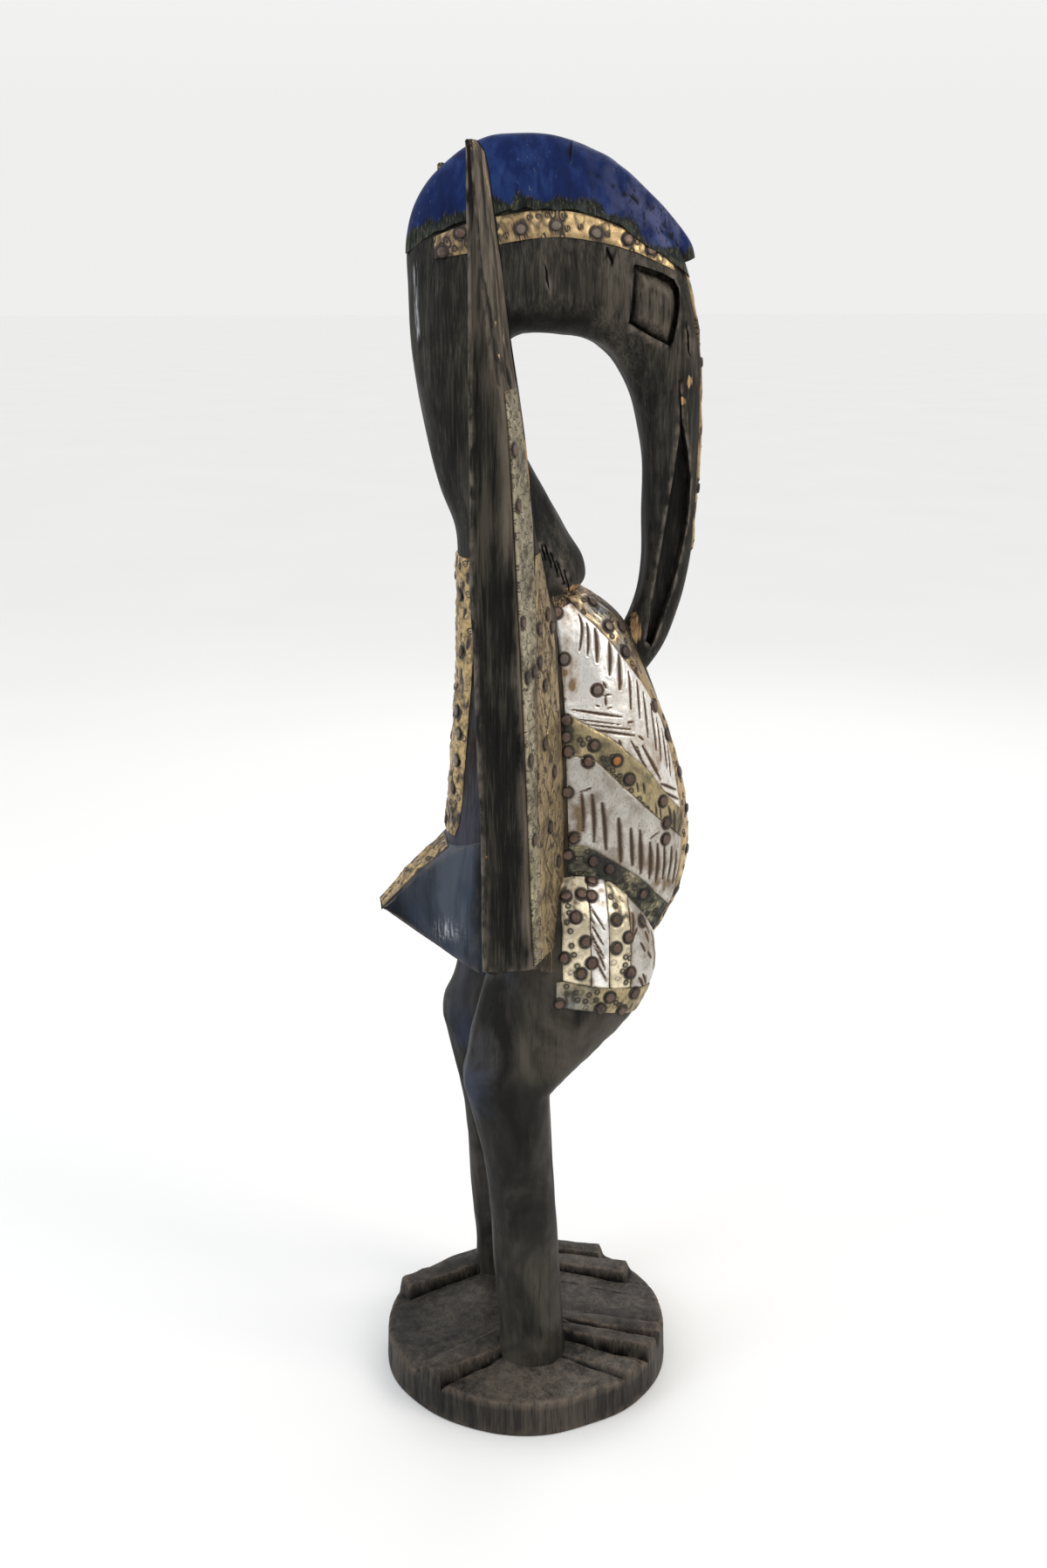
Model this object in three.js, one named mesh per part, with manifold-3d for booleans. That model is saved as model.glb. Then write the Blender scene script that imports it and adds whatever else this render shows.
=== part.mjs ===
// A Senufo hornbill figure: a tall bird carved with its round base from one log.
// The bird faces -Y and stands along +Z. The origin is under the bird, on the underside of the base.
// Sizes are in millimetres. The carving is drawn on a figure 1250 units tall, and unit() turns
// a drawn size into millimetres, so the pose and the proportions are shares of the height.
import * as THREE from "three";
import Module from "manifold-3d";
import { mergeVertices } from "three/addons/utils/BufferGeometryUtils.js";

const wasm = await Module();
wasm.setup();

// Driving sizes.
const height = 1250;
const drawnHeight = 1250;
const baseRadius = 152;
const rimHeight = 39;
const wingHalfSpan = 152;
const legSpread = 75;
const rightFootSplay = -13;
const leftFootSplay = 24;
const leftLegBack = 8;
const bellyHalfWidth = 78;
const headHalfWidth = 44;
const tailHalfWidth = 24;
const mouthDepth = 14;
const eyeDepth = 10;
const sheetThickness = 0.9;
const sheetGap = 0.4;
const seam = 1.2;
const nailHead = 11;
const nailRise = 1.6;

const unit = (drawn) => (drawn * height) / drawnHeight;

// A smooth line through [position, value] pairs that never overshoots them.
function smoothLine(pairs) {
  const at = pairs.map((p) => p[0]);
  const value = pairs.map((p) => p[1]);
  const slope = at.slice(1).map((a, i) => (value[i + 1] - value[i]) / (a - at[i]));
  const tangent = at.map((_, i) => {
    if (i === 0) return slope[0];
    if (i === at.length - 1) return slope[slope.length - 1];
    if (slope[i - 1] * slope[i] <= 0) return 0;
    return (2 * slope[i - 1] * slope[i]) / (slope[i - 1] + slope[i]);
  });
  return (x) => {
    if (x <= at[0]) return value[0];
    if (x >= at[at.length - 1]) return value[value.length - 1];
    const i = at.findIndex((a) => a > x) - 1;
    const span = at[i + 1] - at[i];
    const t = (x - at[i]) / span;
    const rise = t * t * (3 - 2 * t);
    return (
      value[i] * (1 - rise) +
      value[i + 1] * rise +
      span * (tangent[i] * t * (1 - t) * (1 - t) - tangent[i + 1] * t * t * (1 - t))
    );
  };
}

// One closed ring of a loft: a rounded section from its front point to its back point.
// Roundness 2 is an ellipse and more is squarer. Narrowing slims the section towards its back.
function sectionRing({ front, back, x = 0, half, roundness = 2, narrowing = 0 }, sides) {
  const ring = [];
  const power = 2 / roundness;
  for (let i = 0; i < sides; i++) {
    const angle = (2 * Math.PI * i) / sides;
    const along = Math.sign(Math.cos(angle)) * Math.abs(Math.cos(angle)) ** power;
    const across = Math.sign(Math.sin(angle)) * Math.abs(Math.sin(angle)) ** power;
    ring.push(
      new THREE.Vector3(
        x + across * half * (1 - narrowing * along),
        (front[0] + back[0]) / 2 + ((back[0] - front[0]) / 2) * along,
        (front[1] + back[1]) / 2 + ((back[1] - front[1]) / 2) * along,
      ),
    );
  }
  return ring;
}

// A closed skin over a row of rings, swollen outwards by grow.
function loft(rings, grow = 0) {
  const sides = rings[0].length;
  const middle = (ring) =>
    ring.reduce((sum, p) => sum.add(p), new THREE.Vector3()).divideScalar(sides);
  const points = [...rings.flat(), middle(rings[0]), middle(rings[rings.length - 1])];
  const faces = [];
  for (let r = 0; r + 1 < rings.length; r++) {
    for (let i = 0; i < sides; i++) {
      const a = r * sides + i;
      const b = r * sides + ((i + 1) % sides);
      faces.push(a, b, b + sides, a, b + sides, a + sides);
    }
  }
  const last = (rings.length - 1) * sides;
  for (let i = 0; i < sides; i++) {
    const next = (i + 1) % sides;
    faces.push(points.length - 2, next, i, points.length - 1, last + i, last + next);
  }
  const geometry = new THREE.BufferGeometry();
  geometry.setAttribute(
    "position",
    new THREE.BufferAttribute(new Float32Array(points.flatMap((p) => [p.x, p.y, p.z])), 3),
  );
  geometry.setIndex(faces);
  if (signedVolume(geometry) < 0) geometry.setIndex(faces.toReversed());
  return grow ? swollen(geometry, grow) : geometry;
}

function signedVolume(geometry) {
  const position = geometry.getAttribute("position");
  const corner = [0, 1, 2].map(() => new THREE.Vector3());
  let sum = 0;
  for (let f = 0; f < geometry.index.count; f += 3) {
    corner.forEach((c, k) => c.fromBufferAttribute(position, geometry.index.getX(f + k)));
    sum += corner[0].dot(corner[1].cross(corner[2]));
  }
  return sum / 6;
}

function swollen(geometry, grow) {
  geometry.computeVertexNormals();
  const position = geometry.getAttribute("position");
  const normal = geometry.getAttribute("normal");
  for (let i = 0; i < position.count; i++) {
    position.setXYZ(
      i,
      position.getX(i) + normal.getX(i) * grow,
      position.getY(i) + normal.getY(i) * grow,
      position.getZ(i) + normal.getZ(i) * grow,
    );
  }
  geometry.deleteAttribute("normal");
  return geometry;
}

// Booleans: a three.js geometry becomes a solid, and a solid a geometry.
function solidOf(geometry) {
  const bare = geometry.clone();
  for (const name of ["normal", "uv"]) bare.deleteAttribute(name);
  const merged = mergeVertices(bare, 1e-3);
  return new wasm.Manifold(
    new wasm.Mesh({
      numProp: 3,
      vertProperties: new Float32Array(merged.getAttribute("position").array),
      triVerts: new Uint32Array(merged.index.array),
    }),
  );
}

function geometryOf(solid) {
  const mesh = solid.getMesh();
  const positions = new Float32Array(mesh.numVert * 3);
  for (let i = 0; i < mesh.numVert; i++)
    positions.set(mesh.vertProperties.subarray(i * mesh.numProp, i * mesh.numProp + 3), i * 3);
  const geometry = new THREE.BufferGeometry();
  geometry.setAttribute("position", new THREE.BufferAttribute(positions, 3));
  geometry.setIndex(new THREE.BufferAttribute(mesh.triVerts, 1));
  geometry.computeVertexNormals();
  return geometry;
}

const joined = (solids) => solids.reduce((whole, solid) => whole.add(solid));

// A block whose outline is drawn as [y, z] points in the side view, between two x planes.
function sideBlock(outline, xFrom, xTo) {
  const shape = new THREE.Shape(outline.map(([y, z]) => new THREE.Vector2(unit(y), unit(z))));
  const geometry = new THREE.ExtrudeGeometry(shape, {
    depth: Math.abs(xTo - xFrom),
    bevelEnabled: false,
  });
  geometry.applyMatrix4(
    new THREE.Matrix4().set(0, 0, 1, Math.min(xFrom, xTo), 1, 0, 0, 0, 0, 1, 0, 0, 0, 0, 0, 1),
  );
  return solidOf(geometry);
}

// The body: an egg that hangs forward into a big belly. Rows are [z, y] or [z, half width].
const bodyBack = smoothLine([
  [452, 30], [470, 56], [500, 72], [560, 83], [607, 80], [660, 75], [714, 71], [775, 67], [852, 66],
]);
const bellyFront = smoothLine([
  [452, -40], [462, -72], [480, -108], [501, -137], [522, -151], [550, -161], [587, -164.5],
  [624, -163], [661, -157], [698, -147], [734, -135], [768, -122], [800, -105], [820, -92],
  [838, -70], [852, -46],
]);
const bodyWidth = smoothLine([
  [452, 0.3], [465, 0.54], [490, 0.78], [520, 0.91], [560, 0.985], [605, 1], [650, 0.975],
  [700, 0.92], [750, 0.86], [790, 0.78], [820, 0.7], [852, 0.6],
]);
const bodyLevels = [
  452, 463, 482, 510, 545, 587, 630, 672, 712, 750, 785, 814, 836, 852,
];

function body(grow) {
  const rings = bodyLevels.map((z) =>
    sectionRing(
      {
        front: [unit(bellyFront(z)), unit(z)],
        back: [unit(bodyBack(z)), unit(z)],
        half: bellyHalfWidth * bodyWidth(z),
        roundness: 2.25,
        narrowing: 0.04,
      },
      24,
    ),
  );
  return solidOf(loft(rings, grow));
}

// Neck, head and beak: one arch. Each row pairs a point on the outer line with one on the inner
// line as [y, z, y, z], then gives the half width and how much slimmer the outer side is.
const archRows = [
  [66, 846, -46, 846, 52, 0],
  [66, 862, -54.5, 858, 57, 0],
  [66, 880, -53, 876, 55, 0],
  [68, 905, -36, 906, 49, 0],
  [81, 942, -15, 944, 43, 0],
  [96, 1006, 17, 1003, 37, 0],
  [105, 1064, 34, 1040, 36, 0.05],
  [108, 1121, 29, 1064, 38, 0.12],
  [107, 1164, 14, 1078, 41, 0.25],
  [97, 1200, 4, 1083, 43, 0.36],
  [76, 1229, -4, 1085, 44, 0.42],
  [40, 1248, -12, 1085.5, 44, 0.48],
  [2, 1252, -22, 1085, 44, 0.5],
  [-40, 1244, -32, 1083.5, 44, 0.5],
  [-76, 1223, -43, 1081, 44, 0.46],
  [-106, 1195, -54, 1077.5, 44, 0.4],
  [-131, 1163, -66, 1070, 43, 0.3],
  [-146, 1134, -78, 1061, 41, 0.2],
  [-156, 1103, -89, 1046, 38, 0.16],
  [-163, 1068, -98, 1024, 35, 0.14],
  [-167, 1020, -105, 998, 32.5, 0.14],
  [-168, 970, -110, 967, 30.5, 0.14],
  [-166, 918, -111, 918, 28, 0.14],
  [-162, 868, -111, 872, 25.5, 0.12],
  [-152, 826, -106, 838, 23, 0.1],
  [-135, 788, -96, 812, 21, 0.08],
  [-116, 762, -86, 798, 19, 0.05],
];

function arch(grow) {
  const widen = headHalfWidth / 44;
  const rings = archRows.map(([outerY, outerZ, innerY, innerZ, half, narrowing]) =>
    sectionRing(
      {
        front: [unit(innerY), unit(innerZ)],
        back: [unit(outerY), unit(outerZ)],
        half: unit(half) * widen,
        roundness: 2.3,
        narrowing,
      },
      16,
    ),
  );
  return solidOf(loft(rings, grow));
}

// The painted crest stands a little proud of the head and overhangs the root of the beak.
const crestProud = 3;
const crestLowerLine = [
  [110, 1150], [85, 1169], [54, 1180], [8, 1188], [-38, 1187], [-77, 1175], [-112, 1153],
];
const crestOutside = [[-150, 1130], [-190, 1200], [-20, 1300], [150, 1270], [150, 1140]];

function crest(grow) {
  const cap = arch(crestProud + grow).intersect(
    sideBlock([...crestLowerLine, ...crestOutside], -unit(120), unit(120)),
  );
  const lipRows = [
    [-40, 1247, -30, 1200, 23],
    [-75, 1233, -60, 1190, 24],
    [-104, 1211, -85, 1172, 23],
    [-136, 1180, -112, 1152, 18],
    [-153, 1156, -132, 1140, 12],
    [-155, 1148, -142, 1142, 9],
  ];
  const rings = lipRows.map(([outerY, outerZ, innerY, innerZ, half]) =>
    sectionRing(
      {
        front: [unit(innerY), unit(innerZ)],
        back: [unit(outerY), unit(outerZ)],
        half: unit(half),
        roundness: 2.4,
        narrowing: 0.2,
      },
      10,
    ),
  );
  return cap.add(solidOf(loft(rings, grow)));
}

// A wing: a tall plank swept back from the flank, thick at the bottom and slim at the tip.
const wingSweep = 0.573;
const wingRidge = smoothLine([
  [516, 15], [570, 18], [640, 20], [736, 23], [812, 26], [900, 30], [986, 35], [1038, 41],
  [1087, 48], [1140, 54], [1209, 60], [1236, 62],
]);
const wingBack = smoothLine([[516, 64], [640, 65], [738, 68], [813, 70], [901, 72], [1236, 71]]);
const wingInnerShare = smoothLine([
  [516, 0.3], [790, 0.33], [822, 0.42], [850, 0.53], [880, 0.62], [920, 0.69], [960, 0.725],
  [1040, 0.74], [1140, 0.75], [1209, 0.8], [1228, 0.83], [1236, 0.86],
]);
// The left wing was carved a little further forward than the right one.
const leftWingForward = smoothLine([
  [516, 8], [660, 13], [760, 20], [880, 21], [1000, 15], [1150, 6], [1236, 0],
]);
const wingOuterShare = smoothLine([[516, 1.01], [900, 0.99], [1225, 0.965], [1236, 0.94]]);
const wingLevels = [
  516, 560, 640, 730, 790, 822, 850, 880, 920, 960, 1040, 1140, 1209, 1228, 1236,
];

// The front face of the wing at level z, a share of the way from its inner edge to its ridge.
function wingFront(side, z, share) {
  const inner = wingHalfSpan * wingInnerShare(z);
  const outer = wingHalfSpan * wingOuterShare(z);
  const x = inner + (outer - inner) * share;
  const forward = side > 0 ? leftWingForward(z) : 0;
  return [x, unit(wingRidge(z) - forward) - (outer - x) * wingSweep];
}

function wing(side, grow) {
  const rings = wingLevels.map((z) => {
    const thickness = unit(wingBack(z) - wingRidge(z));
    const soften = Math.min(unit(3), thickness / 4);
    const [innerX, innerY] = wingFront(side, z, 0);
    const [outerX, outerY] = wingFront(side, z, 1);
    const corners = [
      [innerX, innerY],
      [outerX - soften * 2, outerY - soften * 2 * wingSweep],
      [outerX, outerY + soften],
      [outerX, outerY + thickness - soften],
      [outerX - soften, outerY + thickness - soften * wingSweep],
      [innerX, innerY + thickness],
    ];
    return corners.map(([x, y]) => new THREE.Vector3(side * x, y, unit(z)));
  });
  return solidOf(loft(rings, grow));
}

// The tail: a wedge with upright sides that juts back from the foot of the spine.
const tailRows = [
  [30, 622, 462, 1],
  [78, 598, 483, 1],
  [111, 571, 505, 0.85],
  [139, 540, 526, 0.68],
  [147, 532, 532, 0.6],
];

function tail(grow) {
  const rings = tailRows.map(([y, top, bottom, share]) => {
    const half = tailHalfWidth * share;
    const soften = Math.min(unit(3), unit(top - bottom) / 3);
    const corners = [
      [half, bottom + soften],
      [half, top - soften],
      [half - soften, top],
      [-half + soften, top],
      [-half, top - soften],
      [-half, bottom + soften],
      [-half + soften, bottom],
      [half - soften, bottom],
    ];
    return corners.map(([x, z]) => new THREE.Vector3(x, unit(y), unit(z)));
  });
  return solidOf(loft(rings, grow));
}

// A leg, hip to foot: a swelling thigh that runs back to the hock, then a straight shank.
const legFront = smoothLine([
  [30, -34], [72, -31], [119, -28], [211, -22], [303, -15.5], [345, -14], [354, -16], [371, -32],
  [391, -55], [412, -78], [433, -97], [460, -112], [485, -118], [505, -117.5], [530, -110],
  [552, -97], [570, -80], [582, -58],
]);
const legBack = smoothLine([
  [30, 35], [72, 37], [157, 43], [211, 46], [261, 50], [303, 58], [325, 64], [350, 70],
  [374, 73], [395, 71], [418, 65], [447, 58], [483, 48], [530, 40], [560, 24], [582, -20],
]);
const legHalf = smoothLine([
  [30, 33], [119, 32], [260, 32.5], [320, 35], [378, 38.5], [420, 41], [485, 43.5], [530, 42],
  [560, 34], [582, 14],
]);
const legInset = smoothLine([[345, 0], [420, 3], [500, 8], [582, 16]]);
const legLevels = [
  30, 119, 211, 290, 328, 346, 356, 376, 400, 430, 460, 490, 520, 548, 568, 582,
];

function leg(side, grow) {
  const splay = side < 0 ? rightFootSplay : leftFootSplay;
  const setBack = side < 0 ? 0 : leftLegBack;
  const rings = legLevels.map((z) =>
    sectionRing(
      {
        front: [unit(legFront(z)) + setBack, unit(z)],
        back: [unit(legBack(z)) + setBack, unit(z)],
        x: side * (legSpread - unit(legInset(z)) + splay * Math.max(0, 1 - z / 345)),
        half: unit(legHalf(z)),
        roundness: 2.2,
      },
      14,
    ),
  );
  return solidOf(loft(rings, grow));
}

// The base: a disc cut from the log, its top slightly domed, with the toes left standing on it.
const domeRise = 13;
const toeRise = 18;
const baseSquash = 0.975;
const baseProfile = [
  [1, 0],
  [1, rimHeight - 3],
  [0.98, rimHeight],
  [0.62, rimHeight + domeRise * 0.75],
  [0.25, rimHeight + domeRise],
];

function base() {
  const sides = 36;
  const rings = baseProfile.map(([share, z]) =>
    Array.from({ length: sides }, (_, i) => {
      const angle = (2 * Math.PI * i) / sides;
      return new THREE.Vector3(
        baseRadius * baseSquash * share * Math.cos(angle),
        baseRadius * share * Math.sin(angle),
        z,
      );
    }),
  );
  return solidOf(loft(rings));
}

// A toe is a ridge from [x, y] beside the foot out to [x, y] near the rim, sinking on its way.
function toe([startX, startY], [endX, endY], halfRoot, halfEnd, lift) {
  const length = Math.hypot(endX - startX, endY - startY);
  const outX = (endX - startX) / length;
  const outY = (endY - startY) / length;
  const rows = [
    [0, halfRoot, toeRise],
    [length * 0.9, halfEnd, toeRise * 0.8],
    [length, halfEnd * 0.9, toeRise * 0.45],
  ];
  const rings = rows.map(([out, half, rise]) => {
    const top = rimHeight + rise * lift;
    const corners = [
      [-half - 2, rimHeight - 6],
      [-half, top - 4],
      [-half + 4, top],
      [half - 4, top],
      [half, top - 4],
      [half + 2, rimHeight - 6],
    ];
    return corners.map(
      ([across, z]) =>
        new THREE.Vector3(
          startX + outX * out - outY * across,
          startY + outY * out + outX * across,
          z,
        ),
    );
  });
  return solidOf(loft(rings));
}

// The right foot has three toes forward and one back, the left one two forward and one back; both
// feet are turned a little to the right. The last number is how proud a toe stands.
const toeLines = [
  [[-25, -25], [-59, -141], 11, 10, 1],
  [[-45, -30], [-84, -128], 11, 10, 1],
  [[-66, -22], [-110, -101], 13, 13, 0.35],
  [[-50, 20], [-96, 117], 16, 15, 1],
  [[117, -28], [97, -101], 12, 11, 1],
  [[93, -24], [61, -125], 13, 14, 0.85],
  [[104, 24], [60, 131], 14, 14, 1],
];

function toesOnBase() {
  const log = solidOf(
    new THREE.CylinderGeometry(1, 1, height, 36)
      .rotateX(Math.PI / 2)
      .scale(baseRadius * baseSquash * 0.985, baseRadius * 0.985, 1),
  );
  const share = baseRadius / 152;
  const scaled = (point) => point.map((value) => value * share);
  const toes = toeLines.map(([start, end, root, tip, lift]) =>
    toe(scaled(start), scaled(end), root * share, tip * share, lift),
  );
  return joined(toes).intersect(log);
}

// Cuts: the mouth, a deep slot down each side of the beak, and the framed eyes.
const mouthOutline = [
  [-140, 1004], [-142, 971], [-140.5, 943], [-137, 912], [-132, 880], [-126, 849], [-118, 816],
  [-113, 796], [-119, 791], [-128, 816], [-138, 849], [-146, 888], [-150, 911], [-152, 943],
  [-148, 975],
];

function mouthCuts() {
  const kept = arch(-mouthDepth);
  return [-1, 1].map((side) =>
    sideBlock(mouthOutline, side * unit(4), side * unit(60)).subtract(kept),
  );
}

const eyeOutline = [[-91, 1141], [-134, 1124], [-127, 1070], [-87, 1091]];

function eyeCuts() {
  const kept = arch(-eyeDepth);
  return [-1, 1].map((side) => sideBlock(eyeOutline, side * unit(5), side * unit(70)).subtract(kept));
}

// The eyeball is a rounded pad that fills the recess but for a groove around it.
function eyePads() {
  const centre = [0, 1].map((k) => eyeOutline.reduce((sum, p) => sum + p[k], 0) / 4);
  const shrunk = (share) =>
    eyeOutline.map((p) => [0, 1].map((k) => centre[k] + (p[k] - centre[k]) * share - (k ? 2 : -1)));
  const steps = [
    [0.82, -4],
    [0.6, -1],
  ];
  return [-1, 1].map((side) =>
    joined(
      steps.map(([share, sink]) =>
        sideBlock(shrunk(share), side * unit(5), side * unit(70)).intersect(arch(sink)),
      ),
    ),
  );
}

function carvedFigure() {
  const forms = [
    body(0),
    arch(0),
    crest(0),
    wing(-1, 0),
    wing(1, 0),
    tail(0),
    leg(-1, 0),
    leg(1, 0),
    base(),
    toesOnBase(),
  ];
  let figure = joined(forms);
  for (const cut of [...mouthCuts(), ...eyeCuts()]) figure = figure.subtract(cut);
  return joined([figure, ...eyePads()]);
}

// The metal: thin sheets nailed over the wood, each cut to an outline of its own.
const frontSeam = [
  [-45, 837], [-58, 828], [-74, 809], [-92, 789], [-112, 763], [-121, 743], [-133, 704],
  [-142, 669], [-148, 634], [-150.5, 600], [-149, 565], [-142, 535], [-130, 508], [-122, 494],
];
const diagonalTop = [[0, 738], [-34, 737], [-48, 728], [-71, 715], [-107, 682], [-131, 650], [-170, 605]];
const diagonalBottom = [
  [0, 700], [-37, 699], [-57, 693], [-71, 679], [-89, 661], [-111, 639], [-136, 616], [-175, 576],
];
const lowerTop = [[0, 612], [-48, 612], [-72, 595], [-103, 573], [-126, 546], [-150, 515]];
const lowerBottom = [[0, 583], [-48, 583], [-72, 568], [-89, 552], [-116, 518], [-132, 495]];
const thighTop = [[0, 590], [-48, 588], [-72, 572], [-90, 556], [-118, 520], [-132, 500]];
const bandTop = [[0, 487], [-21, 486], [-56, 477], [-82, 473], [-106, 468], [-140, 462]];
const bandBottom = [[0, 462], [-26, 458], [-51, 452], [-72, 447], [-89, 442], [-140, 428]];
const wingRoot = smoothLine([[494, -29], [603, -30], [667, -29], [736, -27], [790, -24], [843, -17]]);

// A line drawn in the side view, moved by a distance in y and in z.
const moved = (line, dy, dz) => line.map(([y, z]) => [y + dy, z + dz]);

// The area between an upper and a lower line that run from back to front.
const between = (upper, lower) => [...moved(upper, 0, -seam / 2), ...moved(lower, 0, seam / 2).reverse()];

const nailsByPlace = {
  breast: [[-30, 831], [-59, 762], [-33, 752]],
  diagonal: [[-33, 719], [-70, 692], [-118, 650]],
  belly: [[-36, 640], [-134, 620]],
  lower: [[-62, 589], [-108, 545]],
  thighRear: [[-36, 556], [-38, 510]],
  thighFront: [[-76, 556], [-78, 500]],
  thighBand: [[-22, 473], [-56, 465]],
  band: [[74, 1159], [22, 1172], [-30, 1175], [-85, 1163]],
};

function nailHeads(places, side) {
  const pegs = (places ?? []).map(([y, z]) => {
    const peg = new THREE.CylinderGeometry(nailHead / 2, nailHead / 2, unit(160), 5);
    return solidOf(
      peg.rotateZ(Math.PI / 2).translate((side * unit(160)) / 2 + side * unit(15), unit(y), unit(z)),
    );
  });
  return pegs.length ? joined(pegs) : null;
}

const skin = sheetGap + sheetThickness;
const wood = joined([
  body(sheetGap),
  arch(sheetGap),
  crest(sheetGap),
  wing(-1, sheetGap),
  wing(1, sheetGap),
  tail(sheetGap),
  leg(-1, sheetGap),
  leg(1, sheetGap),
]);

// A sheet lies on one form of the figure, inside its outline, with its nail heads raised on it.
function sheet(form, cutter, side = 0, nails = null) {
  let metal = form(skin).intersect(cutter);
  const pegs = nailHeads(nails, side);
  if (pegs) metal = metal.add(form(skin + nailRise).intersect(pegs).intersect(cutter));
  return metal.subtract(wood);
}

// A flat strip on the front face of a wing, between two lines of [z, x].
const outerStripEdges = [
  smoothLine([[519, 144], [929, 143], [1040, 139]]),
  smoothLine([[519, 137], [607, 134], [690, 130], [769, 123], [848, 118], [924, 113], [970, 117], [1040, 123]]),
];
const innerStripEdges = [
  smoothLine([[519, 131], [604, 127], [687, 122], [767, 115], [846, 109], [896, 104]]),
  smoothLine([[519, 79], [609, 75], [671, 73], [794, 78], [842, 86], [880, 97], [896, 101]]),
];

function wingStrip(side, [outerEdge, innerEdge], low, high) {
  const levels = [low, ...wingLevels.filter((z) => z > low + 4 && z < high - 4), high];
  const rings = levels.map((z) => {
    const outer = wingHalfSpan * wingOuterShare(z);
    const inner = wingHalfSpan * wingInnerShare(z);
    const corner = (x, lift) => {
      const [, y] = wingFront(side, z, (x - inner) / (outer - inner));
      return new THREE.Vector3(side * x, y - lift, unit(z));
    };
    const [outerX, innerX] = [outerEdge(z), innerEdge(z)].map((x) => (x * wingHalfSpan) / 152);
    const liftLow = sheetGap * 1.6;
    const liftHigh = liftLow + sheetThickness;
    return [
      corner(innerX, liftLow),
      corner(outerX, liftLow),
      corner(outerX, liftHigh),
      corner(innerX, liftHigh),
    ];
  });
  const clear = skin + sheetGap;
  return solidOf(loft(rings)).subtract(wood.add(leg(side, clear)).add(body(clear)));
}

// The tail's strip covers its sloping top face.
function tailStrip() {
  const rings = tailRows.slice(1).map(([y, top, , share], i) => {
    const half = tailHalfWidth * share - unit(3.5);
    const z = unit(top) + sheetGap;
    const start = unit(y) + (i === 0 ? seam * 2 : 0);
    const corners = [[-half, 0], [half, 0], [half, sheetThickness], [-half, sheetThickness]];
    return corners.map(([x, lift]) => new THREE.Vector3(x, start + lift * 0.6, z + lift));
  });
  return solidOf(loft(rings)).subtract(wood);
}

const part = new THREE.Group();

function addPiece(name, solid, material) {
  const mesh = new THREE.Mesh(geometryOf(solid), material);
  mesh.name = name;
  part.add(mesh);
}

const darkWood = new THREE.MeshStandardMaterial({ color: 0x2b2724, roughness: 0.7, metalness: 0 });
const brass = new THREE.MeshStandardMaterial({ color: 0xa88a4f, roughness: 0.45, metalness: 1 });
const aluminium = new THREE.MeshStandardMaterial({ color: 0xc9cccd, roughness: 0.35, metalness: 1 });

addPiece("carved_bird_and_base", carvedFigure(), darkWood);

const outside = unit(160);
for (const side of [-1, 1]) {
  const name = side < 0 ? "right" : "left";
  const onBody = (grow) => body(grow).subtract(leg(side, skin + sheetGap));
  const onLeg = (grow) => leg(side, grow);
  const block = (outline, inner = 0) => sideBlock(outline, side * unit(inner), side * outside);
  const rearEdge = [494, 600, 700, 780, 843].map((z) => [
    wingRoot(z) - (side > 0 ? leftWingForward(z) : 0),
    z,
  ]);
  const belly = [...frontSeam, ...rearEdge];
  const bellySheet = (outline) => block(outline).intersect(block(belly, 20));

  const headBand = between(
    [[87, 1164], [60, 1174], [30, 1181], [0, 1186], [-28, 1186], [-50, 1183], [-79, 1173], [-99, 1163], [-133, 1141]],
    [[86, 1146], [60, 1150], [25, 1159], [-7, 1164], [-28, 1164], [-47, 1162], [-74, 1157], [-95, 1151], [-131, 1136]],
  );
  addPiece("brass_head_band_" + name, sheet(arch, block(headBand, 12), side, nailsByPlace.band), brass);

  const breast = [[0, 900], [-60, 900], [-180, 800], ...moved(diagonalTop, 0, seam / 2).reverse()];
  addPiece(
    "aluminium_breast_sheet_" + name,
    sheet(onBody, bellySheet(breast), side, nailsByPlace.breast),
    aluminium,
  );
  addPiece(
    "brass_diagonal_band_" + name,
    sheet(onBody, bellySheet(between(diagonalTop, diagonalBottom)), side, nailsByPlace.diagonal),
    brass,
  );
  addPiece(
    "aluminium_belly_sheet_" + name,
    sheet(onBody, bellySheet(between(diagonalBottom, lowerTop)), side, nailsByPlace.belly),
    aluminium,
  );
  addPiece(
    "brass_lower_band_" + name,
    sheet(onBody, bellySheet(between(lowerTop, lowerBottom)), side, nailsByPlace.lower),
    brass,
  );
  const edge = [
    ...moved(frontSeam, -seam, seam / 2),
    [-190, 494],
    [-190, 800],
    [-60, 850],
    [-46, 843],
  ];
  addPiece("brass_breast_strip_" + name, sheet(onBody, block(edge, 20)), brass);

  const panels = [
    ["brass_thigh_panel_rear_", -14, -48, nailsByPlace.thighRear, brass],
    ["aluminium_thigh_panel_inner_", -48, -66, null, aluminium],
    ["brass_thigh_panel_front_", -66, -88, nailsByPlace.thighFront, brass],
    ["aluminium_thigh_panel_outer_", -88, -140, null, aluminium],
  ];
  const thigh = block(between(thighTop, bandTop), 62);
  for (const [start, back, front, nails, metal] of panels) {
    const column = block([
      [back - seam / 2, 400],
      [back - seam / 2, 620],
      [front + seam / 2, 620],
      [front + seam / 2, 400],
    ]);
    addPiece(start + name, sheet(onLeg, thigh.intersect(column), side, nails), metal);
  }
  const thighBand = block(between(moved(bandTop, 0, 0), bandBottom), 62).intersect(
    block([[-14, 380], [-14, 520], [-140, 520], [-140, 380]]),
  );
  addPiece("brass_thigh_band_" + name, sheet(onLeg, thighBand, side, nailsByPlace.thighBand), brass);

  addPiece("brass_wing_strip_outer_" + name, wingStrip(side, outerStripEdges, 519, 1040), brass);
  addPiece("brass_wing_strip_inner_" + name, wingStrip(side, innerStripEdges, 519, 896), brass);
}

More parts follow.
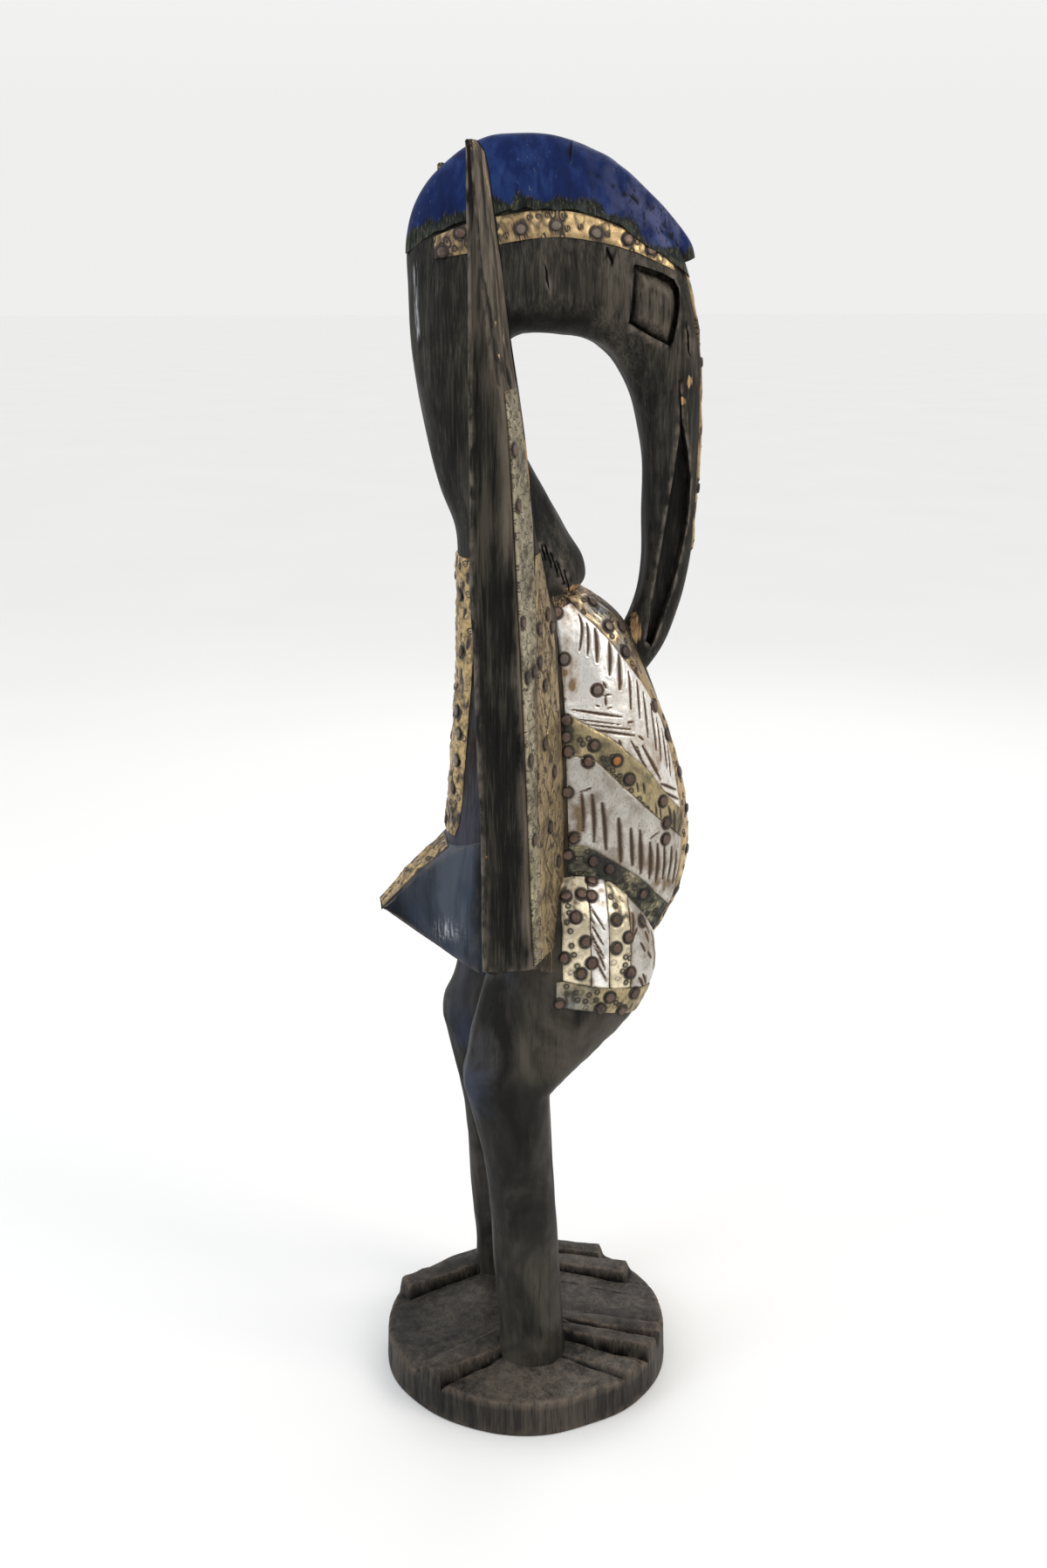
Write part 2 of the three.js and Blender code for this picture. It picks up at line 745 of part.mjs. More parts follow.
const beakFront = [
  [-133, 1130], [-139, 1121], [-146, 1105], [-151, 1079], [-153, 1045], [-155, 990], [-155, 941],
  [-157, 905], [-157, 880], [-190, 880], [-190, 1130],
];
addPiece("brass_beak_strip", sheet(arch, sideBlock(beakFront, -unit(14), unit(14))), brass);

const spine = [[45, 606], [45, 872], [110, 872], [110, 606]];
const onSpine = (grow) => body(grow).add(arch(grow));
addPiece("brass_spine_strip", sheet(onSpine, sideBlock(spine, -unit(27), unit(27))), brass);
addPiece("brass_tail_strip", tailStrip(), brass);

export default part;
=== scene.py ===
import math
import bpy
import bmesh
import numpy as np
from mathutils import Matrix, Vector
from mathutils.geometry import delaunay_2d_cdt


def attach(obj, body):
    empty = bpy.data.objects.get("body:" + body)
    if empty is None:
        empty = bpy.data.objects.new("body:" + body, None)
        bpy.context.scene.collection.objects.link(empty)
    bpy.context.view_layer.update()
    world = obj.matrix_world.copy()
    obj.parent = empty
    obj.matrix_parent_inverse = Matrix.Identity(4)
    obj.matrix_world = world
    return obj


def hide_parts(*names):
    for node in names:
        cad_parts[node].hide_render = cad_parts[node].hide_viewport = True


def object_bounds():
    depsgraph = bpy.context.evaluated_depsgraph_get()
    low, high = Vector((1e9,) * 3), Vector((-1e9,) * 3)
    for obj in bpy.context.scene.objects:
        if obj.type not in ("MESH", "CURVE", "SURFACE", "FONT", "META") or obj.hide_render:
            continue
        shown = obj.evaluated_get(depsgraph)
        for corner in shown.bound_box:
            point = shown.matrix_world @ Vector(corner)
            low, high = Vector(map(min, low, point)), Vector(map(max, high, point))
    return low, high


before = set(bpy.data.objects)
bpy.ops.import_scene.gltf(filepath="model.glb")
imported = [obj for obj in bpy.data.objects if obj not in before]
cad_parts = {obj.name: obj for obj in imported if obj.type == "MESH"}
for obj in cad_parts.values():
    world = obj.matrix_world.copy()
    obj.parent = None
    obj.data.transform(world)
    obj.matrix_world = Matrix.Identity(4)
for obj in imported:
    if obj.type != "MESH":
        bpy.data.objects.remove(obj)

cad_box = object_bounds()

# The viewpoint: a camera level with the bird's head, to its right and turned a little
# towards its back, looking down on it.
lens = bpy.data.cameras.new("right_side_view")
lens.lens = 37.66
lens.sensor_width = 36
viewpoint = bpy.data.objects.new("right_side_view", lens)
viewpoint.location = (-1.54087, 0.20576, 1.1260)
viewpoint.rotation_euler = (math.radians(73), 0, math.radians(-97.5))
bpy.context.scene.collection.objects.link(viewpoint)
bpy.context.scene.camera = viewpoint


# The floor: a wide level sheet under the base, painted a matt studio off-white, with the
# faint marks of the roller.
class Wire:
    """A value or a colour in a node tree. Arithmetic with it adds the maths nodes."""

    def __init__(self, tree, socket):
        self.tree = tree
        self.socket = socket

    def __add__(self, other):
        return maths("ADD", self, other)

    def __sub__(self, other):
        return maths("SUBTRACT", self, other)

    def __rsub__(self, other):
        return maths("SUBTRACT", other, self)

    def __mul__(self, other):
        return maths("MULTIPLY", self, other)


def fill(tree, node, given):
    """Links each wire to its socket, and writes each number, vector or colour on its own."""
    for title, value in given.items():
        if isinstance(value, Wire):
            tree.links.new(value.socket, node.inputs[title])
        else:
            node.inputs[title].default_value = value


def add_node(tree, kind, given, output=0, **settings):
    node = tree.nodes.new(kind)
    for key, value in settings.items():
        setattr(node, key, value)
    fill(tree, node, given)
    return Wire(tree, node.outputs[output])


def maths(operation, *values, clamp=False):
    tree = next(value.tree for value in values if isinstance(value, Wire))
    return add_node(tree, "ShaderNodeMath", dict(enumerate(values)), operation=operation, use_clamp=clamp)


def highest_of(first, second):
    return maths("MAXIMUM", first, second)


def between(value, low, high):
    """Rises smoothly from 0 to 1 while the value goes from low to high."""
    given = {"From Min": low, "From Max": high, "Value": value}
    return add_node(value.tree, "ShaderNodeMapRange", given, "Result", interpolation_type="SMOOTHSTEP")


def ramp(value, stops):
    node = value.tree.nodes.new("ShaderNodeValToRGB")
    elements = node.color_ramp.elements
    while len(elements) < len(stops):
        elements.new(0.5)
    for element, (place, colour) in zip(elements, stops):
        element.position = place
        element.color = (*colour, 1)
    fill(value.tree, node, {"Fac": value})
    return Wire(value.tree, node.outputs["Color"])


def layered(colour, *layers):
    """A colour with others laid over it, each through a mask of its own."""
    for share, over in layers:
        first, second = [(*c, 1) if isinstance(c, tuple) else c for c in (colour, over)]
        given = {"Factor": share, "A": first, "B": second}
        colour = add_node(share.tree, "ShaderNodeMix", given, "Result", data_type="RGBA")
    return colour


def noise(tree, stretch, detail=3.0, distortion=0.0, roughness=0.55):
    place = add_node(tree, "ShaderNodeTexCoord", {}, "Object")
    place = add_node(tree, "ShaderNodeMapping", {"Vector": place, "Scale": stretch})
    given = {"Scale": 1.0, "Detail": detail, "Roughness": roughness, "Distortion": distortion}
    return add_node(tree, "ShaderNodeTexNoise", {"Vector": place, **given}, "Fac")


def new_material(name):
    material = bpy.data.materials.new(name)
    material.use_nodes = True
    return material, material.node_tree


def shade(tree, given):
    fill(tree, tree.nodes["Principled BSDF"], given)


def place_piece(name, mesh, *materials):
    piece = bpy.data.objects.new(name, mesh)
    bpy.context.scene.collection.objects.link(piece)
    for material in materials:
        mesh.materials.append(material)
    return piece


def build_floor(half):
    material, tree = new_material("matt_studio_paint")
    place = add_node(tree, "ShaderNodeTexCoord", {}, "Object")
    marks = add_node(tree, "ShaderNodeTexNoise", {"Scale": 1.4, "Vector": place}, "Fac")
    tone = ramp(marks, [(0.3, (0.674, 0.674, 0.664)), (0.7, (0.688, 0.688, 0.678))])
    shade(tree, {"Base Color": tone, "Roughness": 0.9})
    mesh = bpy.data.meshes.new("studio_floor")
    corners = [(-half, -half, 0), (half, -half, 0), (half, half, 0), (-half, half, 0)]
    mesh.from_pydata(corners, [], [(0, 1, 2, 3)])
    place_piece("studio_floor", mesh, material)


build_floor(60.0)


# The light: a pale room with two big soft panels on the camera's side, one to the front and
# one to the rear, and a weaker one on the far side.
def soft_panel(name, place, aim, size, power, colour):
    lamp = bpy.data.lights.new(name, "AREA")
    lamp.shape = "RECTANGLE"
    lamp.size, lamp.size_y = size
    lamp.energy = power
    lamp.color = colour
    holder = bpy.data.objects.new(name, lamp)
    holder.location = place
    holder.rotation_euler = (Vector(aim) - Vector(place)).to_track_quat("-Z", "Y").to_euler()
    bpy.context.scene.collection.objects.link(holder)


soft_panel("front_panel", (-1.5, -2.1, 2.3), (0, 0, 0.7), (1.3, 1.5), 36, (1.0, 0.94, 0.86))
soft_panel("rear_panel", (-0.9, 2.5, 1.8), (0, 0, 0.6), (1.2, 1.8), 28, (0.82, 0.90, 1.0))
soft_panel("far_panel", (2.4, -0.8, 2.2), (0, 0, 0.7), (1.6, 1.6), 16, (1.0, 0.98, 0.95))


def pale_room():
    """Pale walls on the far side, dimmer ones behind the camera, and a bright ceiling."""
    room = bpy.data.worlds.new("pale_room")
    room.use_nodes = True
    tree = room.node_tree
    place = add_node(tree, "ShaderNodeTexCoord", {}, "Generated")
    side, up = [add_node(tree, "ShaderNodeSeparateXYZ", {0: place}, axis) for axis in "XZ"]
    walls = ramp(between(side, -0.75, 0.6), [(0.0, (0.17, 0.175, 0.185)), (1.0, (0.86, 0.86, 0.855))])
    ceiling = between(up, 0.06, 0.62), (1.30, 1.30, 1.31)
    fill(tree, tree.nodes["Background"], {"Color": layered(walls, ceiling)})
    bpy.context.scene.world = room


pale_room()
bpy.context.scene.view_settings.view_transform = "Standard"


# The body: an egg carved from the log, hanging forward into a big belly.
# Most of it goes under the metal, so only its top and its underside show bare wood.
drawn_height = 1255.0
unit = (cad_box[1][2] - cad_box[0][2]) / drawn_height


def curve(at, value, slope):
    """A smooth curve through rows of values at the given places, with the slopes given there."""

    def line(x):
        x = np.clip(x, at[0], at[-1])
        i = np.clip(np.searchsorted(at, x, side="right") - 1, 0, len(at) - 2)
        span = (at[i + 1] - at[i])[..., None]
        t = (x - at[i])[..., None] / span
        rise = t * t * (3 - 2 * t)
        bend = slope[i] * t * (1 - t) ** 2 - slope[i + 1] * t * t * (1 - t)
        return np.moveaxis(value[i] * (1 - rise) + value[i + 1] * rise + span * bend, -1, 0)

    return line


def smooth_line(pairs):
    """A curve through pairs of numbers that never overshoots them."""
    at, value = np.array(pairs, float).T
    slope = np.diff(value) / np.diff(at)
    tangent = np.concatenate([slope[:1], np.zeros(len(at) - 2), slope[-1:]])
    turning = slope[:-1] * slope[1:]
    mean = 2 * turning / np.where(turning > 0, slope[:-1] + slope[1:], 1)
    tangent[1:-1] = np.where(turning > 0, mean, 0)
    line = curve(at, value[:, None], tangent[:, None])
    return lambda x: line(x)[0]


def full_turn(count):
    return np.linspace(0, 2 * np.pi, count, endpoint=False)


def section(front, back, half, angle, roundness, narrowing=0.0, x=0.0):
    """Points of a rounded section at each angle: 0 is its back point and pi its front point."""
    along, across = [
        np.sign(part) * np.abs(part) ** (2 / roundness) for part in (np.cos(angle), np.sin(angle))
    ]
    middle = [(f + b) / 2 for f, b in zip(front, back)]
    reach = [(b - f) / 2 for f, b in zip(front, back)]
    side = x + across * half * (1 - narrowing * along)
    return np.stack(np.broadcast_arrays(side, middle[0] + reach[0] * along, middle[1] + reach[1] * along), -1)


def turn_at(share, roundness):
    """The angle at which a rounded section reaches a share of its depth."""
    share = np.clip(share, -1, 1)
    return np.arccos(np.sign(share) * np.abs(share) ** (roundness / 2))


def turn_beside(share, roundness):
    """The angle at which a rounded section reaches a share of its half width."""
    return np.arcsin(np.minimum(share, 1) ** (roundness / 2))


def swell(share, roundness):
    return (1 - np.abs(share) ** roundness) ** (1 / roundness)


def uneven(points, size, seed, waves=14):
    """A smooth random height of about -1 to 1, in lumps of the given size in millimetres."""
    if points.ndim == 1:
        points = np.column_stack([points, points, points])
    if points.shape[-1] == 2:
        points = np.column_stack([points, np.zeros(len(points))])
    rng = np.random.default_rng(seed)
    heading = rng.normal(size=(waves, 3))
    heading /= np.linalg.norm(heading, axis=1, keepdims=True)
    phase = rng.uniform(0, 2 * np.pi, waves)
    turns = points.reshape(-1, 3) @ (heading * 2 * np.pi / np.asarray(size, float)).T
    total = np.sin(turns + phase).sum(1) / math.sqrt(waves)
    return total.reshape(points.shape[:-1])


def soft_step(low, high, value):
    share = np.clip((value - low) / (high - low), 0, 1)
    return share * share * (3 - 2 * share)


def bell(*aways):
    return np.exp(-sum(away**2 for away in aways))


def highest(*values):
    return np.maximum.reduce(np.broadcast_arrays(*values))


def ring_normals(rings):
    along = np.gradient(rings, axis=0)
    around = np.roll(rings, -1, 1) - np.roll(rings, 1, 1)
    normal = np.cross(around, along)
    normal /= np.linalg.norm(normal, axis=-1, keepdims=True) + 1e-9
    outward = rings - rings.mean(1, keepdims=True)
    return normal * np.sign((normal * outward).sum(-1).mean())


def carved(rings, depth):
    return rings - ring_normals(rings) * depth[..., None]


def turn_outward(shape, faces):
    if shape.calc_volume(signed=True) < 0:
        bmesh.ops.reverse_faces(shape, faces=faces)


def mesh_of(name, points, faces, *repairs):
    """A mesh, in metres, of points drawn in millimetres."""
    mesh = bpy.data.meshes.new(name)
    mesh.from_pydata((points * unit).tolist(), [], faces)
    if repairs:
        shape = bmesh.new()
        shape.from_mesh(mesh)
        for repair in repairs:
            repair(shape, faces=shape.faces)
        shape.to_mesh(mesh)
        shape.free()
    return mesh


def skinned(name, rings, *materials):
    """A closed piece over a row of rings."""
    rows, sides = rings.shape[:2]
    points = np.concatenate([rings.reshape(-1, 3), [rings[0].mean(0), rings[-1].mean(0)]])
    step = np.arange(sides)
    after = (step + 1) % sides
    start = np.arange(rows - 1)[:, None] * sides
    low, next_low = (start + step).ravel(), (start + after).ravel()
    faces = np.stack([low, next_low, next_low + sides, low + sides], 1).tolist()
    last = (rows - 1) * sides
    faces += [(len(points) - 2, b, a) for a, b in zip(step.tolist(), after.tolist())]
    faces += [(len(points) - 1, last + a, last + b) for a, b in zip(step.tolist(), after.tolist())]
    return place_piece(name, mesh_of(name, points, faces, turn_outward), *materials)


def read(items, field, width=3, kind=float):
    values = np.empty(len(items) * width, kind)
    items.foreach_get(field, values)
    return values.reshape(-1, width)


def set_mask(mesh, title, values):
    mask = mesh.attributes.get(title) or mesh.attributes.new(title, "FLOAT", "POINT")
    mask.data.foreach_set("value", np.clip(values, 0, 1).astype(np.float32))


def deepen(mesh, values):
    """Darkens a finished wooden piece through its hollow mask: painted shade, with grime."""
    hollow = read(mesh.attributes["hollow"].data, "value", 1)[:, 0]
    set_mask(mesh, "hollow", np.maximum(hollow, values))


def finish_wood(piece, crease=38):
    """Rounds the shading, keeps creases sharp and notes where the wood is convex or hollow."""
    mesh = piece.data
    mesh.shade_smooth()
    mesh.set_sharp_from_angle(angle=math.radians(crease))
    count = len(mesh.vertices)
    place = read(mesh.vertices, "co")
    normal = read(mesh.vertices, "normal")
    a, b = read(mesh.edges, "vertices", 2, int).T
    run = place[b] - place[a]
    bend = ((normal[b] - normal[a]) * run).sum(1) / np.maximum((run * run).sum(1), 1e-10)
    degree = np.maximum(np.bincount(a, minlength=count) + np.bincount(b, minlength=count), 1)
    bend = (np.bincount(a, bend, count) + np.bincount(b, bend, count)) / degree
    for _ in range(2):
        total = np.bincount(a, bend[b], count) + np.bincount(b, bend[a], count)
        bend = 0.5 * bend + 0.5 * total / degree
    set_mask(mesh, "worn", (bend - 12) / 110)
    set_mask(mesh, "hollow", (-bend - 12) / 110)
    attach(piece, "root")
    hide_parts("carved_bird_and_base")
    return (place / unit).T


def shared_effect(name, **inputs):
    tree = bpy.data.node_groups.new(name, "ShaderNodeTree")
    for title, value in inputs.items():
        socket = tree.interface.new_socket(title, in_out="INPUT", socket_type="NodeSocketFloat")
        socket.default_value = value
    start = tree.nodes.new("NodeGroupInput")
    return tree, {title: Wire(tree, start.outputs[title]) for title in inputs}


def effect_of(tree, **results):
    for title in results:
        tree.interface.new_socket(title, in_out="OUTPUT", socket_type="NodeSocketFloat")
    fill(tree, tree.nodes.new("NodeGroupOutput"), results)
    return tree


def use(tree, effect, **given):
    node = tree.nodes.new("ShaderNodeGroup")
    node.node_tree = effect
    fill(tree, node, given)
    return {output.name: Wire(tree, output) for output in node.outputs}


def mask(tree, name, output="Fac"):
    return add_node(tree, "ShaderNodeAttribute", {}, output, attribute_name=name)


def bumped(height, strength, distance):
    given = {"Strength": strength, "Distance": distance, "Height": height}
    return add_node(height.tree, "ShaderNodeBump", given)


def make_grain():
    tree, given = shared_effect("upright_grain", Crack_share=0.5)
    fibres = noise(tree, (620, 620, 34), 4)
    streaks = noise(tree, (120, 120, 7), 3, 0.4)
    blotches = noise(tree, (17, 17, 9), 4, 0.6)
    beside_line = maths("ABSOLUTE", noise(tree, (150, 150, 5), 2, 0.3) - 0.5)
    patchy = between(noise(tree, (30, 30, 6), 1), 0.52, 0.62)
    cracks = (1 - between(beside_line, 0.002, 0.014)) * patchy * given["Crack_share"]
    height = fibres * 0.35 + streaks * 0.9 - cracks * 0.9
    return effect_of(tree, Fibres=fibres, Streaks=streaks, Blotches=blotches, Cracks=cracks, Height=height)


def make_wear_and_shade():
    tree, given = shared_effect("edge_wear_and_hollow_shade", Reach=1.0)
    breakup = noise(tree, (130, 130, 60), 4)
    worn = mask(tree, "worn") * given["Reach"] * between(breakup, 0.36, 0.66)
    # The hollows are darkened: painted shade in recesses and creases, with grime.
    grime_and_shade = maths("MULTIPLY", mask(tree, "hollow"), breakup + 0.7, clamp=True)
    return effect_of(tree, Worn=worn, Dirty=grime_and_shade)


grain = make_grain()
wear_and_shade = make_wear_and_shade()


def weathered_wood(name, deep, middle, pale, rub=(0.12, 0.10, 0.08), reach=1.0, smooth=0.0):
    """Old dark-stained wood: sooty along the grain, greyer and paler in patches that are partly a painted
    highlight, rubbed pale on its edges, with painted shade and grime in its hollows.
    """
    material, tree = new_material(name)
    fibre = use(tree, grain)
    edge = use(tree, wear_and_shade, Reach=reach)
    fibres, streaks, blotches = fibre["Fibres"], fibre["Streaks"], fibre["Blotches"]
    grainy = 1 - smooth
    tone = fibres * (0.30 * grainy) + streaks * (0.32 * grainy) + blotches * (0.38 + 0.62 * smooth)
    fresh = ramp(fibres, [(0.35, (0.16, 0.085, 0.035)), (0.62, (0.50, 0.32, 0.16))])
    bare = mask(tree, "bare") + (streaks + fibres * 0.8) * 0.6
    colour = layered(
        ramp(tone, [(0.38, deep), (0.50, middle), (0.62, pale)]),
        (mask(tree, "pale_and_highlight") * between(tone, 0.36, 0.60), (0.150, 0.125, 0.095)),
        (edge["Worn"], rub),
        (between(bare, 0.95, 1.12), fresh),
        (mask(tree, "paint") * between(fibres, 0.42, 0.58), (0.44, 0.45, 0.47)),
        (mask(tree, "blue") * between(blotches, 0.35, 0.65), (0.026, 0.035, 0.064)),
        (highest_of(edge["Dirty"], fibre["Cracks"]), (0.004, 0.0035, 0.003)),
    )
    normal = bumped(fibre["Height"], 0.55 - 0.35 * smooth, 0.0011)
    rough = blotches * -0.35 + 0.70
    shade(tree, {"Base Color": colour, "Roughness": rough, "Specular IOR Level": 0.085, "Normal": normal})
    return material


body_back = smooth_line([
    (452, 30), (470, 56), (500, 72), (560, 83), (607, 80), (660, 75), (714, 71), (775, 67), (852, 66),
])
belly_front = smooth_line([
    (452, -40), (462, -72), (480, -108), (501, -133), (522, -144), (550, -156), (587, -162),
    (624, -160.5), (661, -154), (698, -143.5), (734, -130.5), (768, -117.5), (800, -103), (820, -91),
    (838, -70), (852, -46),
])
body_width = smooth_line([
    (452, 0.3), (465, 0.54), (490, 0.78), (520, 0.91), (560, 0.985), (605, 1), (650, 0.975),
    (700, 0.92), (750, 0.86), (790, 0.78), (820, 0.7), (852, 0.6),
])
belly_half_width = 78
body_roundness = 2.25
body_foot, body_crown = 452, 852


def body_point(angle, z):
    half = belly_half_width * body_width(z)
    return section((belly_front(z), z), (body_back(z), z), half, angle, body_roundness, 0.04)


def build_body():
    rings = body_point(full_turn(132)[None, :], np.linspace(body_foot, body_crown, 84)[:, None])
    wood = weathered_wood("body_wood", (0.008, 0.007, 0.006), (0.03, 0.024, 0.018), (0.09, 0.065, 0.04))
    body = skinned("carved_body", carved(rings, 0.5 + 0.5 * uneven(rings, (28, 28, 90), 3)), wood)
    _, y, z = finish_wood(body)
    set_mask(body.data, "bare", 0.44 * soft_step(815, 836, z) * soft_step(40, 10, y))
    set_mask(body.data, "blue", 0.62 * soft_step(0, 25, y) * soft_step(800, 700, z))


build_body()


# Neck, head and beak: one hooked arch left standing when the log was hollowed through behind
# the beak. It flares into a bell over the body, and the eyes and the mouth are cut into it.
arch_rows = [
    (66, 846, -46, 846, 52, 0), (66, 862, -54.5, 858, 57, 0), (66, 880, -53, 876, 55, 0),
    (68, 905, -36, 906, 49, 0), (81, 942, -15, 944, 43, 0), (96, 1006, 17, 1003, 37, 0),
    (105, 1064, 34, 1040, 36, 0.05), (108, 1121, 29, 1064, 38, 0.12), (107, 1164, 14, 1077, 41, 0.25),
    (97, 1199, 4, 1080.5, 43, 0.36), (73, 1225, -4, 1081, 44, 0.42), (36, 1246, -12, 1081.5, 44, 0.48),
    (-2, 1250, -22, 1081, 44, 0.5), (-44, 1243, -32, 1080, 44, 0.5), (-79, 1224.5, -43, 1079, 44, 0.46),
    (-109, 1197, -54.5, 1076, 44, 0.4), (-133, 1164, -66.5, 1070, 43, 0.3),
    (-146, 1134, -78.5, 1060, 41, 0.2), (-155, 1103, -89, 1043.5, 38, 0.16),
    (-160.5, 1068, -98, 1024, 35, 0.14), (-163.5, 1020, -105, 998, 32.5, 0.14),
    (-164, 970, -110, 967, 30.5, 0.14), (-161, 918, -111, 918, 28, 0.14),
    (-157.5, 868, -111, 872, 25.5, 0.12), (-149, 826, -106, 838, 23, 0.1), (-134, 788, -96, 812, 21, 0.08),
    (-116, 762, -86, 798, 19, 0.05),
]
arch_roundness = 2.3


def smooth_rows(rows):
    """A curve through rows of numbers, by the distance along their middles, and its length."""
    rows = np.array(rows, float)
    middle = (rows[:, :2] + rows[:, 2:4]) / 2
    at = np.concatenate([[0], np.cumsum(np.linalg.norm(np.diff(middle, axis=0), axis=1))])
    return curve(at, rows, np.gradient(rows, at, axis=0)), at[-1]


def row_section(row, angle, roundness):
    outer_y, outer_z, inner_y, inner_z, half, narrowing = row
    return section((inner_y, inner_z), (outer_y, outer_z), half, angle, roundness, narrowing)


arch_row, arch_length = smooth_rows(arch_rows)


def arch_point(angle, t):
    return row_section(arch_row(t), angle, arch_roundness)


def arch_place(y, z):
    """For points of the side view, how far along the arch they lie, and their share across it."""
    t = np.linspace(0, arch_length, 1500)
    row = arch_row(t)
    reach, centre = (row[:2] - row[2:4]) / 2, (row[:2] + row[2:4]) / 2
    size = np.hypot(*reach)
    away_y = np.asarray(y, float).reshape(-1, 1) - centre[0]
    away_z = np.asarray(z, float).reshape(-1, 1) - centre[1]
    share = (away_y * reach[0] + away_z * reach[1]) / size**2
    miss = np.abs(away_y * reach[1] - away_z * reach[0]) / size + 80 * np.maximum(np.abs(share) - 1.15, 0)
    best = miss.argmin(1)
    return t[best], share[np.arange(len(best)), best]


def arch_half_at(flat):
    t, share = arch_place(*flat.T)
    half, narrowing = arch_row(t)[4:]
    share = np.clip(share, -1, 1)
    return swell(share, arch_roundness) * half * (1 - narrowing * share)


def inside(outline, points):
    """Whether each point lies in the outline, and how far it is from the nearest edge."""
    start = np.asarray(outline, float)
    end = np.roll(start, -1, 0)
    run = end - start
    away = points[:, None] - start
    share = np.clip((away * run).sum(-1) / (run**2).sum(-1), 0, 1)
    distance = np.linalg.norm(away - share[..., None] * run, axis=-1).min(1)
    above = (start[:, 1] > points[:, 1:]) != (end[:, 1] > points[:, 1:])
    rise = np.where(run[:, 1] == 0, 1e-9, run[:, 1])
    crossing = start[:, 0] + (points[:, 1:] - start[:, 1]) * run[:, 0] / rise
    return (above & (points[:, :1] < crossing)).sum(1) % 2 == 1, distance


def shaken(line, size, seed):
    return np.stack([uneven(line, size, seed), uneven(line, size, seed + 1)], 1)


def divided(outline, spacing, ragged=0.0):
    """The outline with points at an even spacing, a little ragged as if cut by hand."""
    outline = np.asarray(outline, float)
    made = []
    for start, end in zip(outline, np.roll(outline, -1, 0)):
        count = max(1, round(float(np.linalg.norm(end - start)) / spacing))
        made.append(start + (end - start) * np.arange(count)[:, None] / count)
    made = np.concatenate(made)
    return made + ragged * shaken(made, 11, 1)


def filled(outline, spacing, extra=()):
    """Triangles over a flat outline: its points first, then an even scatter inside it."""
    outline = np.asarray(outline, float)
    low, high = outline.min(0), outline.max(0)
    columns = np.arange(low[0], high[0], spacing)
    levels = np.arange(low[1], high[1], spacing * 0.87)
    flat = np.stack(np.meshgrid(columns, levels), -1)
    flat[1::2, :, 0] += spacing / 2
    flat = flat.reshape(-1, 2)
    flat = flat + np.random.default_rng(7).uniform(-0.12, 0.12, flat.shape) * spacing
    kept = [outline]
    for spots, clear in ((flat, spacing * 0.55), (np.reshape(extra, (-1, 2)), 0.4)):
        within, distance = inside(outline, spots)
        kept.append(spots[within & (distance > clear)])
    points = [Vector(p) for p in np.concatenate(kept).tolist()]
    made = delaunay_2d_cdt(points, [], [list(range(len(outline)))], 1, 1e-5, False)
    return np.array([tuple(p) for p in made[0]]), np.array(made[2])


def side_cutter(outline, side, spacing, floor):
    """A block that cuts in from one side of the head down to a shaped floor."""
    flat, faces = filled(outline, spacing)
    count = len(flat)
    inner = np.column_stack([side * floor(flat), flat])
    outer = np.column_stack([np.full(count, side * 90.0), flat])
    shape = bmesh.new()
    verts = [shape.verts.new(p) for p in (np.concatenate([inner, outer]) * unit).tolist()]
    shape.verts.index_update()
    for a, b, c in faces.tolist():
        shape.faces.new((verts[a], verts[b], verts[c]))
        shape.faces.new((verts[count + c], verts[count + b], verts[count + a]))
    for edge in [edge for edge in shape.edges if edge.is_boundary]:
        a, b = edge.verts
        if max(a.index, b.index) < count:
            shape.faces.new((a, b, verts[b.index + count], verts[a.index + count]))
    bmesh.ops.recalc_face_normals(shape, faces=shape.faces)
    mesh = bpy.data.meshes.new("cutter")
    shape.to_mesh(mesh)
    shape.free()
    return place_piece("cutter", mesh)


def combine(piece, others, operation):
    for other in others:
        change = piece.modifiers.new(operation, "BOOLEAN")
        change.operation = operation
        change.solver = "MANIFOLD"
        change.object = other
        depsgraph = bpy.context.evaluated_depsgraph_get()
        joined = bpy.data.meshes.new_from_object(piece.evaluated_get(depsgraph))
        piece.modifiers.clear()
        piece.data = joined
        bpy.data.objects.remove(other)


mouth_outline = [
    (-140, 1004), (-142, 971), (-140.5, 943), (-137, 912), (-132, 880), (-126, 849), (-118, 816),
    (-113, 796), (-119, 791), (-128, 816), (-138, 849), (-146, 888), (-150, 911), (-152, 943),
    (-148, 975),
]
eye_outline = [
    (-91, 1141), (-105, 1138), (-119, 1134), (-129, 1129), (-135, 1121), (-136, 1108), (-133, 1092),
    (-127, 1070), (-107, 1079.5), (-87, 1091), (-90, 1116),
]


def mouth_floor(flat):
    return np.maximum(arch_half_at(flat) - 14, 4)


def eye_floor(flat):
    _, distance = inside(eye_outline, flat)
    lean = np.clip((flat @ np.array([-0.5, 0.87]) - 1022) / 26, 0, 1)
    pillow = np.clip((distance - 2.2 - 3.2 * lean) / 12, 0, 1)
    return arch_half_at(flat) - 10 + 8.6 * np.sin(pillow * np.pi / 2) ** 0.8


def crack_floor(flat):
    return arch_half_at(flat) - 2.6


cracks = [
    (-65, 1156, -71, 1141, 1.3), (-137, 1040, -141, 978, 0.9), (-143, 1090, -146, 1062, 0.7),
    (-10, 1140, -13, 1120, 0.6), (-50, 905, -58, 893, 0.5), (-122, 1160, -127, 1152, 0.5),
]
cracks += [
    (-7 - 3 * i, 895 - 4 * i + 5 * (i % 2), -11 - 3 * i, 882 - 4 * i + 5 * (i % 2), 0.55) for i in range(9)
]
rubbed_spots = [
    (-140, 1022, 3, 5, 1.0), (-147, 1039, 3, 7, 0.9), (-104, 808, 8, 22, 0.66), (-146, 1020, 9, 70, 0.42),
    (-150, 1085, 6, 45, 0.34), (-40, 852, 16, 5, 0.7),
]


